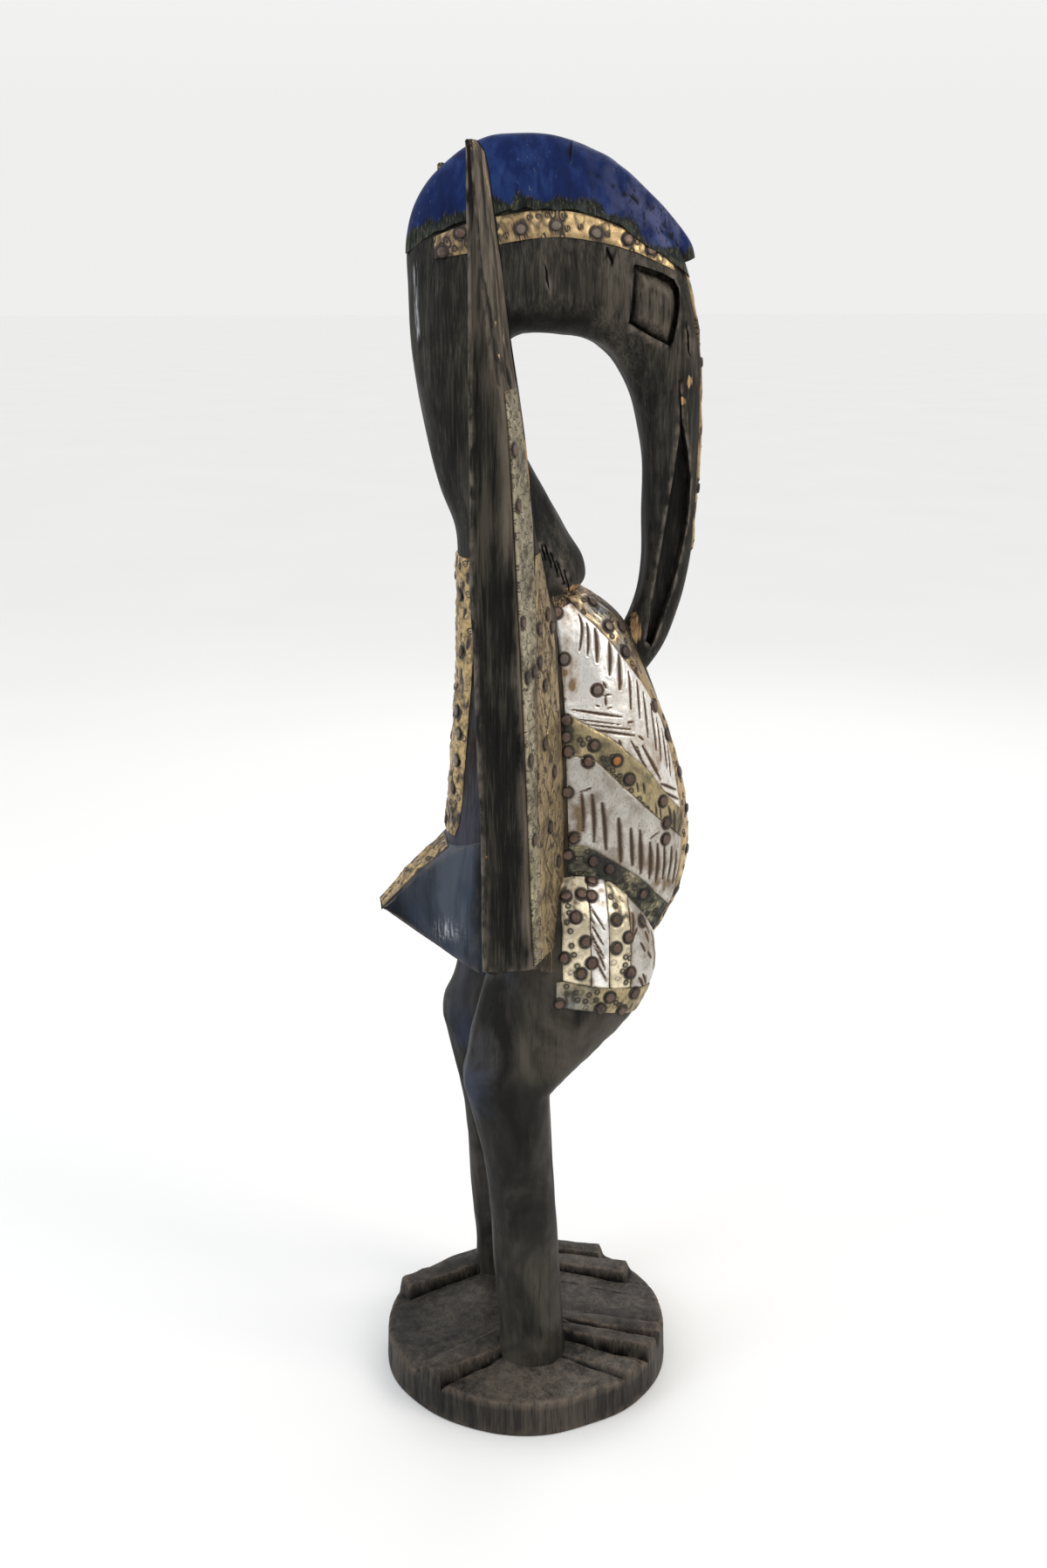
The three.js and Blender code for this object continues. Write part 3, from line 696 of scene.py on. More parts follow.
def crack_outline(start_y, start_z, end_y, end_z, width):
    """A long thin leaf shape, slightly wandering."""
    start, run = np.array([start_y, start_z], float), np.array([end_y - start_y, end_z - start_z], float)
    across = np.array([-run[1], run[0]]) / np.hypot(*run)
    share = np.linspace(0, 1, 9)[:, None]
    line = start + share * run + across * (0.6 * np.sin(share * 9 + start_y))
    breadth = (width * np.sin(np.pi * share) ** 0.6 * 0.8 + 0.12) * across
    return np.concatenate([line + breadth, (line - breadth)[::-1]])


def build_arch():
    rings = arch_point(full_turn(92)[None, :], np.linspace(0, arch_length, 380)[:, None])
    rings = carved(rings, 0.5 + 0.5 * uneven(rings, (24, 34, 80), 5))
    tones = (0.0045, 0.0044, 0.0041), (0.0155, 0.0148, 0.0128), (0.056, 0.050, 0.040)
    arch = skinned("carved_neck_head_beak", rings, weathered_wood("head_wood", *tones))
    cutters = []
    for side in (-1, 1):
        cutters.append(side_cutter(divided(mouth_outline, 2, 0.5), side, 2, mouth_floor))
        cutters.append(side_cutter(divided(eye_outline, 1.5, 0.6), side, 1.5, eye_floor))
        cutters += [side_cutter(crack_outline(*crack), side, 3, crack_floor) for crack in cracks]
    combine(arch, cutters, "DIFFERENCE")
    x, y, z = finish_wood(arch)
    bare = [
        strength * bell((y - spot_y) / reach_y, (z - spot_z) / reach_z)
        for spot_y, spot_z, reach_y, reach_z, strength in rubbed_spots
    ]
    set_mask(arch.data, "bare", highest(*bare))
    within, distance = inside(eye_outline, np.stack([y, z], 1))
    pad = np.where(within & (distance > 4), 0.7, 0)
    throat = 0.35 * soft_step(12, 40, y) * soft_step(60, 40, y) * soft_step(1100, 1060, z)
    cheek = 0.28 * soft_step(20, -40, y) * soft_step(1035, 1075, z)
    set_mask(arch.data, "pale_and_highlight", highest(pad, cheek, throat))
    streak = 1.15 * bell((x + 20) / 1.4) * (y > 80) * soft_step(1072, 1086, z) * soft_step(1146, 1134, z)
    set_mask(arch.data, "paint", streak)
    # Painted shade: the lower sides of the head and the underside of its hook are darkened towards the inner
    # arch.
    under = 0.7 * soft_step(1112, 1094, z) * soft_step(1030, 1045, z)
    deepen(arch.data, under * soft_step(-66, -40, y) * soft_step(62, 40, y))


build_arch()


# The crest: the top of the head stands proud like a cap and is painted ultramarine blue. The
# paint is thin and grimy above the brass band, scratched to the wood, and chalky at the front.
crest_lower_line = [
    (110, 1150), (85, 1169), (54, 1180), (8, 1188), (-38, 1187), (-77, 1175), (-112, 1153),
]
crest_outside = [(-150, 1130), (-190, 1200), (-20, 1300), (150, 1270), (150, 1140)]
crest_proud = 3.0
crest_front, crest_rear = 250, 150
lip_rows = [
    (-40, 1247, -30, 1200, 23, 0.2), (-75, 1233, -60, 1190, 24, 0.2), (-104, 1211, -85, 1172, 23, 0.2),
    (-136, 1180, -112, 1152, 18, 0.2), (-153, 1156, -132, 1140, 12, 0.2), (-155, 1148, -142, 1142, 9, 0.2),
]
lip_roundness = 2.4


def level_line(pairs):
    y, z = np.array(sorted(pairs), float).T
    return lambda at: np.interp(at, y, z)


def block(outline, half):
    """A straight block through the head, drawn in the side view."""
    count = len(outline)
    points = np.concatenate([np.column_stack([np.full(count, x), outline]) for x in (-half, half)])
    faces = [tuple(range(count)), tuple(range(2 * count - 1, count - 1, -1))]
    faces += [(i, (i + 1) % count, (i + 1) % count + count, i + count) for i in range(count)]
    mesh = mesh_of("block", points, faces, bmesh.ops.triangulate, bmesh.ops.recalc_face_normals)
    return place_piece("block", mesh)


def crest_paint():
    material, tree = new_material("ultramarine_crest_paint")
    fibre = use(tree, grain, Crack_share=0.35)
    edge = use(tree, wear_and_shade, Reach=0.5)
    chalk = mask(tree, "chalk")
    tone = fibre["Blotches"] * 0.55 + fibre["Streaks"] * 0.45
    blues = [(0.36, (0.0022, 0.007, 0.038)), (0.5, (0.004, 0.0125, 0.066)), (0.64, (0.012, 0.030, 0.110))]
    soots = [(0.40, (0.0035, 0.005, 0.005)), (0.56, (0.014, 0.018, 0.013)), (0.72, (0.11, 0.085, 0.035))]
    grime = mask(tree, "grime") + (noise(tree, (60, 60, 24), 5, 0.5) * 1.5 - 0.75)
    nicks = between(noise(tree, (330, 330, 70), 2, 0.4), 0.60, 0.66)
    few = between(noise(tree, (26, 26, 12), 1), 0.50, 0.60)
    scratches = between(noise(tree, (420, 420, 13), 1, 0.25), 0.68, 0.71) * 0.30 * few
    colour = layered(
        ramp(tone, blues),
        (chalk * between(noise(tree, (70, 60, 34), 5), 0.40, 0.62) * 0.75, (0.085, 0.092, 0.175)),
        (between(grime, 0.38, 0.70), ramp(fibre["Fibres"], soots)),
        (nicks * between(chalk, 0.15, 0.8), (0.004, 0.005, 0.010)),
        (scratches, (0.12, 0.14, 0.20)),
        (edge["Worn"] * 0.6, (0.085, 0.095, 0.085)),
        (highest_of(edge["Dirty"], fibre["Cracks"]), (0.004, 0.005, 0.007)),
    )
    normal = bumped(fibre["Height"], 0.45, 0.0009)
    rough = fibre["Blotches"] * -0.3 + 0.66
    shade(tree, {"Base Color": colour, "Roughness": rough, "Specular IOR Level": 0.07, "Normal": normal})
    return material


def build_crest():
    along = np.linspace(crest_rear, arch_length - crest_front, 250)[:, None]
    rings = arch_point(full_turn(110)[None, :], along)
    proud = crest_proud - 2.0 * soft_step(55, 98, rings[..., 1])
    rings = carved(rings, -(proud - 0.4 - 0.4 * uneven(rings, (22, 30, 46), 9)))
    cap = skinned("painted_crest", rings, crest_paint())
    line = divided(crest_lower_line + crest_outside, 4)
    low = (line[:, 1] < 1192) & (np.abs(line[:, 0]) < 125)
    line[:, 1] += np.where(low, 0.9 * uneven(line, 13, 4), 0)
    combine(cap, [block(line, 120)], "INTERSECT")
    lip_row, lip_length = smooth_rows(lip_rows)
    along = np.linspace(0, lip_length, 60)[:, None]
    rings = row_section(lip_row(along), full_turn(60)[None, :], lip_roundness)
    rings = carved(rings, 0.3 + 0.3 * uneven(rings, (18, 18, 30), 12))
    combine(cap, [skinned("lip", rings)], "UNION")
    _, y, z = finish_wood(cap)
    grime = 1.05 - (z - level_line(crest_lower_line)(y)) / 19
    grime += np.clip((y - 85) / 60, 0, 0.25) - np.clip((-y - 90) / 60, 0, 0.4)
    set_mask(cap.data, "grime", grime)
    set_mask(cap.data, "chalk", (-y - 45) / 80 + np.clip((z - 1225) / 60, 0, 0.3))


build_crest()


# The wings: two tall planks swept back from the flanks, thick below and slim at the tip. They
# were split out of the log with it, so the grain runs up them, and their tips are knocked bare.
wing_half_span = 152
wing_sweep = 0.573
wing_face_width = 80
wing_foot, wing_tip = 516, 1236
wing_ridge = smooth_line([
    (516, 15), (570, 18), (640, 20), (736, 23), (812, 26), (900, 30), (986, 35), (1038, 41),
    (1087, 48), (1140, 54), (1209, 60), (1236, 62),
])
wing_back = smooth_line([(516, 64), (640, 65), (738, 68), (813, 70), (901, 72), (1236, 71)])
wing_inner_share = smooth_line([
    (516, 0.3), (790, 0.33), (822, 0.43), (850, 0.54), (880, 0.635), (920, 0.71), (960, 0.745),
    (1040, 0.765), (1140, 0.77), (1209, 0.81), (1228, 0.84), (1236, 0.87),
])
wing_outer_share = smooth_line([(516, 1.01), (900, 0.99), (1225, 0.965), (1236, 0.94)])
left_wing_forward = smooth_line([
    (516, 8), (660, 13), (760, 20), (880, 21), (1000, 15), (1150, 6), (1236, 0),
])


def hand_of(side):
    return "right" if side < 0 else "left"


def wing_edges(z):
    return wing_half_span * wing_inner_share(z), wing_half_span * wing_outer_share(z)


def wing_forward(side, z):
    return left_wing_forward(z) if side > 0 else 0


def wing_front_y(side, x, z):
    folded = np.minimum(wing_edges(z)[1] - x, wing_face_width) * wing_sweep
    return wing_ridge(z) - wing_forward(side, z) - folded


def rounded(corners, counts, passes):
    """Rings of even points along cornered outlines, with the corners softened."""
    made = []
    after = np.roll(corners, -1, 1)
    for i, count in enumerate(counts):
        share = np.arange(count)[None, :, None] / count
        made.append(corners[:, i:i + 1] * (1 - share) + after[:, i:i + 1] * share)
    ring = np.concatenate(made, 1)
    for _ in range(passes):
        ring = 0.5 * ring + 0.25 * (np.roll(ring, 1, 1) + np.roll(ring, -1, 1))
    return ring


def build_wing(side):
    name = "carved_wing_" + hand_of(side)
    z = np.linspace(wing_foot, wing_tip, 190)
    inner, outer = wing_edges(z)
    thickness = wing_back(z) - wing_ridge(z)
    soften = np.minimum(3, thickness / 4)
    knee = np.maximum(inner + 1, outer - wing_face_width)
    front_inner, front_knee, front_outer = [wing_front_y(side, x, z) for x in (inner, knee, outer)]
    corners = [
        (inner, front_inner),
        (knee, front_knee),
        (outer - soften * 2, front_outer - soften * 2 * wing_sweep),
        (outer, front_outer + soften),
        (outer, front_outer + thickness - soften),
        (outer - soften, front_outer + thickness - soften * wing_sweep),
        (inner, front_inner + thickness),
    ]
    corners = np.stack([np.stack([side * x, y, z], 1) for x, y in corners], 1)
    rings = rounded(corners, (9, 27, 3, 14, 2, 30, 14), 3)
    normal = ring_normals(rings)
    depth = 0.45 + 0.45 * uneven(rings, (16, 16, 150), 21 + side)
    depth += 0.25 + 0.25 * uneven(rings, (9, 9, 60), 25 + side)
    covered = (normal[..., 1] < -0.3) & (rings[..., 2] < 1045) & (np.abs(rings[..., 0]) > 70)
    rings = rings - normal * np.where(covered, 0.1, depth)[..., None]
    chips = [
        (outer[-1], 40, 1232, 7), (139, 42, 1094, 4), (142, 41, 1067, 3), (152, 72, 880, 2),
        (118, 60, wing_tip, 4),
    ]
    for x, y, height, reach in chips:
        away = np.linalg.norm(rings - (side * x, y, height), axis=-1)
        rings = rings - normal * (np.clip(1 - away / (reach * 2.2), 0, 1) ** 1.2 * reach * 0.45)[..., None]
    ends = [ring + (ring.mean(0) - ring) * share for ring, share in ((rings[0], 0.06), (rings[-1], 0.2))]
    rings[0, :, 2] += 1.6
    rings[-1, :, 2] -= 1.6
    rings = np.concatenate([ends[:1], rings, ends[1:]])
    inward = np.clip((148 - np.abs(rings[..., 0])) / 38, 0, 1)
    rings[..., 2] -= 22 * inward * soft_step(585, wing_foot, rings[..., 2])
    tones = (0.0024, 0.0023, 0.0021), (0.0085, 0.0080, 0.0066), (0.046, 0.040, 0.031)
    wing = skinned(name, rings, weathered_wood(name + "_wood", *tones))
    place = finish_wood(wing, 45).T
    bare = np.clip((place[:, 2] - 1222) / 12, 0, 0.42)
    for x, y, height, reach in chips:
        away = np.linalg.norm(place - (side * x, y, height), axis=-1)
        bare = np.maximum(bare, np.clip(1.3 - away / reach, 0, 1))
    x, y, z = np.abs(place[:, 0]), place[:, 1], place[:, 2]
    behind = y - wing_front_y(side, x, z)
    on_front = np.abs(behind) < 2.5
    lens = bell((x - 124) / 8, (z - 768) / 22) + bell((x - 127) / 8, (z - 883) / 22)
    torn = 0.8 * soft_step(940, 965, z) * soft_step(1012, 985, z) * soft_step(135, 120, x)
    foot = 0.38 * soft_step(556, 524, z) * soft_step(136, 120, x)
    tan = 0.42 * bell((x - 128) / 7) * soft_step(1000, 1060, z)
    edge = 0.4 * soft_step(146, 149, x) * soft_step(775, 790, z) * soft_step(905, 890, z)
    knock = 0.62 * bell((y - 57) / 2.4, (z - 629) / 4) * (x > 146)
    set_mask(wing.data, "bare", highest(bare, on_front * highest(lens, torn, foot, tan, edge), knock))
    streaky = 0.75 + 0.35 * uneven(np.column_stack([x, x, z * 0.12]), 9, 47)
    # A painted highlight runs along the outer corner of the front face and beside it on the outer face; the
    # rest of the front and the upper outer face are paler wood.
    front_pale_and_highlight = on_front * np.maximum(0.3 + 0.6 * soft_step(950, 1060, z), 0.9 * soft_step(145, 148.5, x))
    side_highlight = 0.5 * (x > 147) * (z < 1050) * bell((behind - 5) / 4.5) * uneven(place, (40, 40, 90), 49)
    high_pale = 0.26 * soft_step(980, 1060, z) * (x > 147)
    set_mask(wing.data, "pale_and_highlight", highest(streaky * front_pale_and_highlight, side_highlight, high_pale))


build_wing(-1)
build_wing(1)


# The tail: an upright wedge that juts back from the foot of the spine, left from the same log.
# Its root flares into the back, and its sides are slate blue with pale scuffs.
tail_half_width = 24
tail_rows = [
    (30, 622, 462, 2.55), (56, 609, 473, 2.3), (69, 602, 479, 1.85), (78, 598, 483, 1.5),
    (92, 586.5, 492, 1.16), (111, 571, 505, 0.92), (139, 540, 526, 0.68), (147, 532, 532, 0.6),
]


def build_tail():
    at, *lines = np.array(tail_rows, float).T
    y = np.linspace(at[0], at[-1], 44)
    top, bottom, share = [np.interp(y, at, line) for line in lines]
    half = tail_half_width * share
    soften = np.minimum(3, np.maximum(top - bottom, 3) / 3)
    corners = [
        (half, bottom + soften), (half, top - soften), (half - soften, top), (-half + soften, top),
        (-half, top - soften), (-half, bottom + soften), (-half + soften, bottom), (half - soften, bottom),
    ]
    corners = np.stack([np.stack([x, y, z], 1) for x, z in corners], 1)
    rings = rounded(corners, (40, 2, 14, 2, 40, 2, 14, 2), 2)
    flat_side = np.abs(ring_normals(rings)[..., 0]) > 0.6
    rings = carved(rings, np.where(flat_side, 0.5 + 0.5 * uneven(rings, 26, 31), 0.1))
    tones = (0.0105, 0.0125, 0.0165), (0.028, 0.034, 0.045), (0.064, 0.074, 0.094)
    tail = skinned("carved_tail", rings, weathered_wood("tail_wood", *tones, smooth=0.65))
    place = finish_wood(tail, 40).T
    x, y, z = place.T
    navy = 0.8 * bell((y - 117) / 14, (z - 529) / 12)
    set_mask(tail.data, "blue", np.maximum(navy, 0.6 * soft_step(0.4, 1.2, uneven(place, 34, 34))))
    scuff = bell((y - 84) / 10, (z - 512) / 9) * (0.55 + 0.6 * uneven(place, 5, 36)) * (np.abs(x) > 15)
    set_mask(tail.data, "paint", 0.9 * scuff)


build_tail()


# The legs: a swelling thigh that runs back to the hock, then a straight shank, shaved smooth
# with long strokes of the knife. The left leg stands a little back and splays outwards.
leg_spread = 75
leg_roundness = 2.2
leg_foot, leg_crown = 30, 582
leg_front = smooth_line([
    (30, -38), (48, -33), (72, -31), (119, -28), (211, -22), (303, -15.5), (351, -14), (355, -15),
    (360, -19.5), (371, -31), (391, -52), (412, -74), (433, -94.5), (460, -110.5), (485, -117.5),
    (505, -117.5), (530, -110), (552, -97), (570, -80), (582, -58),
])
leg_back = smooth_line([
    (30, 42), (46, 38), (72, 37), (157, 43), (211, 46), (261, 50), (303, 58), (325, 63), (350, 69.5),
    (367, 73.5), (375, 73.5), (395, 69.5), (418, 65), (447, 58), (483, 48), (530, 40), (560, 24),
    (582, -20),
])
leg_half = smooth_line([
    (30, 33), (119, 32), (260, 32.5), (320, 35), (378, 38.5), (420, 41), (485, 43.5), (530, 42),
    (560, 34), (582, 14),
])
leg_inset = smooth_line([(345, 0), (420, 3), (500, 8), (582, 16)])


def leg_ends(side, z):
    """Where the front and the back of a leg lie: the left one stands back, with a higher knee."""
    if side < 0:
        return leg_front(z), leg_back(z)
    return leg_front(z) + 8, leg_back(z - 8 * soft_step(300, 360, z)) + 8 - 6 * soft_step(392, 425, z)


def leg_point(side, angle, z):
    splay = -13 if side < 0 else 24
    front, back = leg_ends(side, z)
    x = side * (leg_spread - leg_inset(z) + splay * np.maximum(0, 1 - z / 345))
    return section((front, z), (back, z), leg_half(z), angle, leg_roundness, 0.0, x)


def build_leg(side):
    name = "carved_leg_" + hand_of(side)
    rings = leg_point(side, full_turn(76)[None, :], np.linspace(leg_foot, leg_crown, 190)[:, None])
    depth = 0.55 + 0.35 * uneven(rings, (15, 15, 130), 41 + side) + 0.2 * uneven(rings, (9, 9, 40), 45 + side)
    tones = (0.009, 0.0086, 0.0078), (0.018, 0.0172, 0.0150), (0.043, 0.040, 0.034)
    leg = skinned(name, carved(rings, depth), weathered_wood(name + "_wood", *tones, smooth=0.7))
    _, y, z = finish_wood(leg)
    back = leg_ends(side, z)[1]
    # The blue towards the back of the thigh is a painted cool reflection of the rear light; the patch on the
    # knee is a blue stain.
    rear = soft_step(back - 34, back - 12, y)
    knee = np.clip(1.25 - np.hypot((y - 66) / 30, (z - 372) / 34), 0, 0.75)
    set_mask(leg.data, "blue", np.maximum(knee, 0.6 * rear * soft_step(340, 380, z)))
    set_mask(leg.data, "pale_and_highlight", 0.24 * soft_step(360, 400, z) + 0.15 * soft_step(220, 160, z))


build_leg(-1)
build_leg(1)


# The base: a disc of the same log, sawn flat below and slightly domed on top. The toes are
# ridges left standing on it, with deep gouged creases between them, and its rim is knocked pale.
base_radius = 152
base_squash = 0.975
rim_height = 39
dome_rise = 13
toe_rise = 18
toe_lines = [
    ((-25, -25), (-59, -141), 11, 10, 1), ((-45, -30), (-84, -128), 11, 10, 1),
    ((-66, -22), (-110, -101), 13, 13, 0.35), ((-50, 20), (-96, 117), 16, 15, 1),
    ((117, -28), (97, -101), 12, 11, 1), ((93, -24), (61, -125), 13, 14, 0.85),
    ((58, -46), (30, -132), 13, 12, 0), ((104, 24), (60, 131), 14, 14, 1),
]


def base_top(x, y):
    """The height of the base's carved top, and how deep in a crease each point is."""
    place = np.stack([x, y], 1)
    from_middle = np.hypot(x / base_squash, y) / base_radius
    ground = rim_height + dome_rise * soft_step(1.0, 0.25, from_middle) + 0.6 * uneven(place, 40, 51) - 0.5
    height = ground
    crease = np.zeros_like(x)
    for n, (start, end, root, tip, lift) in enumerate(toe_lines):
        start, end = np.array(start, float), np.array(end, float)
        length = np.linalg.norm(end - start)
        out = (end - start) / length
        reach = (x - start[0]) * out[0] + (y - start[1]) * out[1]
        across = (y - start[1]) * out[0] - (x - start[0]) * out[1]
        across = np.abs(across + 0.6 * uneven(place, 24, 60 + n))
        gone = np.clip(reach / length, 0, 1)
        half = root + (tip - root) * gone
        share = across / half
        rise = lift * toe_rise * (1 - 0.2 * gone) * soft_step(length + 3, length - 4, reach)
        rise = rise * (1 - 0.12 * share**2) + 0.35 * uneven(place, 18, 70 + n)
        body = soft_step(1.05, 0.87, share) * soft_step(-22, -8, reach)
        toe = rim_height + dome_rise * 0.35 + rise - 4
        height = np.where(body > 0, np.maximum(height, ground + (toe - ground) * body), height)
        line = bell((across - half * 1.06) / 1.7)
        line = line * soft_step(-6, 6, reach) * soft_step(length + 2, length - 12, reach)
        crease = np.maximum(crease, line * (0.55 + 0.45 * uneven(place, 21, 80 + n)) * (1 if lift else 0.5))
    crease = np.clip(crease, 0, 1)
    return height - 4.5 * crease, crease


def build_base():
    angle = full_turn(450)
    turn = np.stack([np.cos(angle), np.sin(angle)], 1)
    radius = base_radius - 0.9 + 1.1 * uneven(turn * 60, 30, 91)
    rim = turn * radius[:, None]
    rows = []
    for share, z in ((0.55, 0.0), (0.998, 0.0), (1.006, 1.2), (1.007, 5.0)):
        rows.append(np.column_stack([rim * share, np.full(len(rim), z)]))
    rim_top, _ = base_top(rim[:, 0] * base_squash, rim[:, 1])
    for share in np.linspace(0.25, 0.93, 9):
        wall = np.column_stack([rim, rim_top * share])
        wall[:, :2] *= 1.007 - 0.007 * share - 0.0018 * (1 + uneven(wall, (7, 7, 60), 93))[:, None]
        rows.append(wall)
    for share in 1 - np.concatenate([[0.003, 0.012, 0.024], np.linspace(0.036, 0.985, 96)]):
        place = rim * share
        height, _ = base_top(place[:, 0] * base_squash, place[:, 1])
        rounding = np.clip((share - 0.972) / 0.028, 0, 1) ** 2 * 2.2
        rows.append(np.column_stack([place, height - rounding]))
    rings = np.stack(rows)
    rings[..., 0] *= base_squash
    tones = (0.012, 0.011, 0.010), (0.034, 0.030, 0.026), (0.078, 0.066, 0.053), (0.13, 0.10, 0.075)
    base = skinned("carved_base", rings, weathered_wood("base_wood", *tones, reach=0.8))
    x, y, z = finish_wood(base, 50)
    _, crease = base_top(x, y)
    # Darker towards the rear of the base, with painted shade in the gouged creases between the toes.
    deepen(base.data, np.maximum(0.22 * soft_step(-10, 40, y), np.where(z > 30, crease * 0.95, 0)))
    set_mask(base.data, "pale_and_highlight", 0.28 * soft_step(-60, -100, x) * (z > 30))


build_base()


# The aluminium sheets on the breast and the belly: thin soft metal cut with shears, tapped down
# over the egg, nailed through, and scored with rows of feather strokes that hold brown dirt.
sheet_rise = 1.3
sheet_thickness = 0.6


def metal_age():
    tree, given = shared_effect("metal_age", Spread=0.5)
    cloud = noise(tree, (38, 38, 30), 5, 0.5, 0.62)
    tarnish = maths("MULTIPLY", cloud - (0.78 - given["Spread"] * 0.5), 5.0, clamp=True)
    scratches = between(noise(tree, (900, 900, 60), 2, 0.3), 0.60, 0.68)
    fine = noise(tree, (420, 420, 380), 3)
    height = noise(tree, (150, 150, 120), 2, 0.3) + fine * 0.25
    speckle = between(fine, 0.54, 0.68)
    return effect_of(tree, Tarnish=tarnish, Scratches=scratches, Speckle=speckle, Height=height)


def vector_maths(operation, *values):
    return add_node(values[0].tree, "ShaderNodeVectorMath", dict(enumerate(values)), operation=operation)


def flat_noise(tree, scale, output):
    given = {"Vector": mask(tree, "flat", "Vector"), "Scale": scale}
    return add_node(tree, "ShaderNodeTexNoise", given, output, noise_dimensions="2D")


def flat_cells(tree, across, up, feature, spread):
    """Distances in cells drawn over a sheet as it lay flat, before it was bent on to the wood."""
    shift = vector_maths("SUBTRACT", flat_noise(tree, 90, "Color"), (0.5, 0.5, 0.5))
    place = vector_maths("MULTIPLY_ADD", shift, (spread, spread * 1.6, 0), mask(tree, "flat", "Vector"))
    scale = add_node(tree, "ShaderNodeCombineXYZ", {0: across, 1: up, 2: 1.0})
    place = vector_maths("MULTIPLY", place, scale)
    given = {"Vector": place, "Scale": 1.0, "Randomness": 0.85}
    return add_node(tree, "ShaderNodeTexVoronoi", given, "Distance", voronoi_dimensions="2D", feature=feature)


def stamped_work():
    tree, given = shared_effect(
        "stamped_work", Rings=110.0, Ring_share=0.4, Across=240.0, Along=240.0, Cell_share=0.0, Whole=1.0
    )
    cells = flat_cells(tree, given["Rings"], given["Rings"], "F1", 0.0)
    tint = Wire(tree, cells.socket.node.outputs["Color"])
    tint = add_node(tree, "ShaderNodeSeparateColor", {"Color": tint}, "Red")
    ring = 1.0 - between(maths("ABSOLUTE", cells - 0.27), 0.03, 0.11)
    dot = 1.0 - between(cells, 0.05, 0.11)
    cut = maths("LESS_THAN", tint, given["Ring_share"]) * highest_of(ring, dot)
    edge = flat_cells(tree, given["Across"], given["Along"], "DISTANCE_TO_EDGE", 0.006)
    struck = highest_of(between(flat_noise(tree, 120, "Fac"), 0.46, 0.56), given["Whole"])
    wall = (1.0 - between(edge, 0.02, 0.13)) * struck * given["Cell_share"]
    pillow = between(edge, 0.0, 0.35) * given["Cell_share"]
    return effect_of(tree, Cut=highest_of(cut, wall), Height=pillow * 0.8 - cut)


age = metal_age()
stamps = stamped_work()


def aged_metal(name, bright, dull, grime, film, spread, gloss, cut=0.0, **punches):
    """Sheet metal: bright where it is rubbed, clouded with tarnish, and filled with grime where cut; the same
    dark colour is painted shade in the creases of crumpled sheets.
    """
    material, tree = new_material(name)
    old = use(tree, age, Spread=spread)
    tarnish, speckle, height = old["Tarnish"], old["Speckle"], old["Height"]
    mark = mask(tree, "mark")
    if punches:
        stamped = use(tree, stamps, **punches)
        mark = highest_of(mark, stamped["Cut"] * cut)
        height = height + stamped["Height"] * 0.8
    mark = maths("SUBTRACT", mark * 1.35, speckle * 0.3, clamp=True)
    stain = maths("MULTIPLY", mask(tree, "stain"), tarnish + 0.8, clamp=True)
    colour = layered(
        bright,
        (tarnish, dull),
        (mask(tree, "silvered"), (0.36, 0.40, 0.42)),
        (speckle * 0.35, grime),
        (old["Scratches"] * 0.5, dull),
        (stain, film),
        (mark, grime),
    )
    dirt = highest_of(highest_of(mark, stain * 0.8), tarnish * 0.35)
    rough = maths("ADD", dirt * 0.4 + gloss, speckle * 0.12, clamp=True)
    normal = bumped(height, 0.4, 0.0009)
    shade(tree, {"Base Color": colour, "Metallic": dirt * -0.9 + 1.0, "Roughness": rough, "Normal": normal})
    return material


def stroke_distance(points, line):
    """Distance to a stroke, and how far along it the nearest place is."""
    best = np.full(len(points), 1e9)
    place = np.zeros(len(points))
    steps = len(line) - 1
    for i in range(steps):
        run = line[i + 1] - line[i]
        share = np.clip(((points - line[i]) @ run) / (run @ run), 0, 1)
        gap = np.linalg.norm(points - line[i] - share[:, None] * run, axis=1)
        place = np.where(gap < best, (i + share) / steps, place)
        best = np.minimum(gap, best)
    return best, place


def scattered(outline, count, apart, seed):
    """Random spots inside an outline, none too near another or the edge."""
    rng = np.random.default_rng(seed)
    spots = rng.uniform(outline.min(0), outline.max(0), (count * 30, 2))
    within, distance = inside(outline, spots)
    kept = []
    for spot in spots[within & (distance > 2.5)]:
        if len(kept) < count and all(np.hypot(*(spot - other)) > apart for other in kept):
            kept.append(spot)
    return [tuple(spot) for spot in kept]


def ring_points(rings):
    """Extra points of a sheet's mesh, at and around each ring mark."""
    made = [np.empty((0, 2))]
    for spot in rings:
        for reach, count in ((0.01, 1), (0.8, 7), (1.5, 10), (2.1, 13), (2.8, 15)):
            turns = np.arange(count) * 2 * np.pi / count + reach
            made.append(np.array(spot[:2]) + reach * np.stack([np.cos(turns), np.sin(turns)], 1))
    return np.concatenate(made)


def rim_edges(faces, count):
    """The edges that only one triangle has, in that triangle's direction."""
    directed = np.concatenate([faces[:, [0, 1]], faces[:, [1, 2]], faces[:, [2, 0]]])
    key = np.sort(directed, 1) @ np.array([count, 1])
    _, first, uses = np.unique(key, return_index=True, return_counts=True)
    return directed[first[uses == 1]]


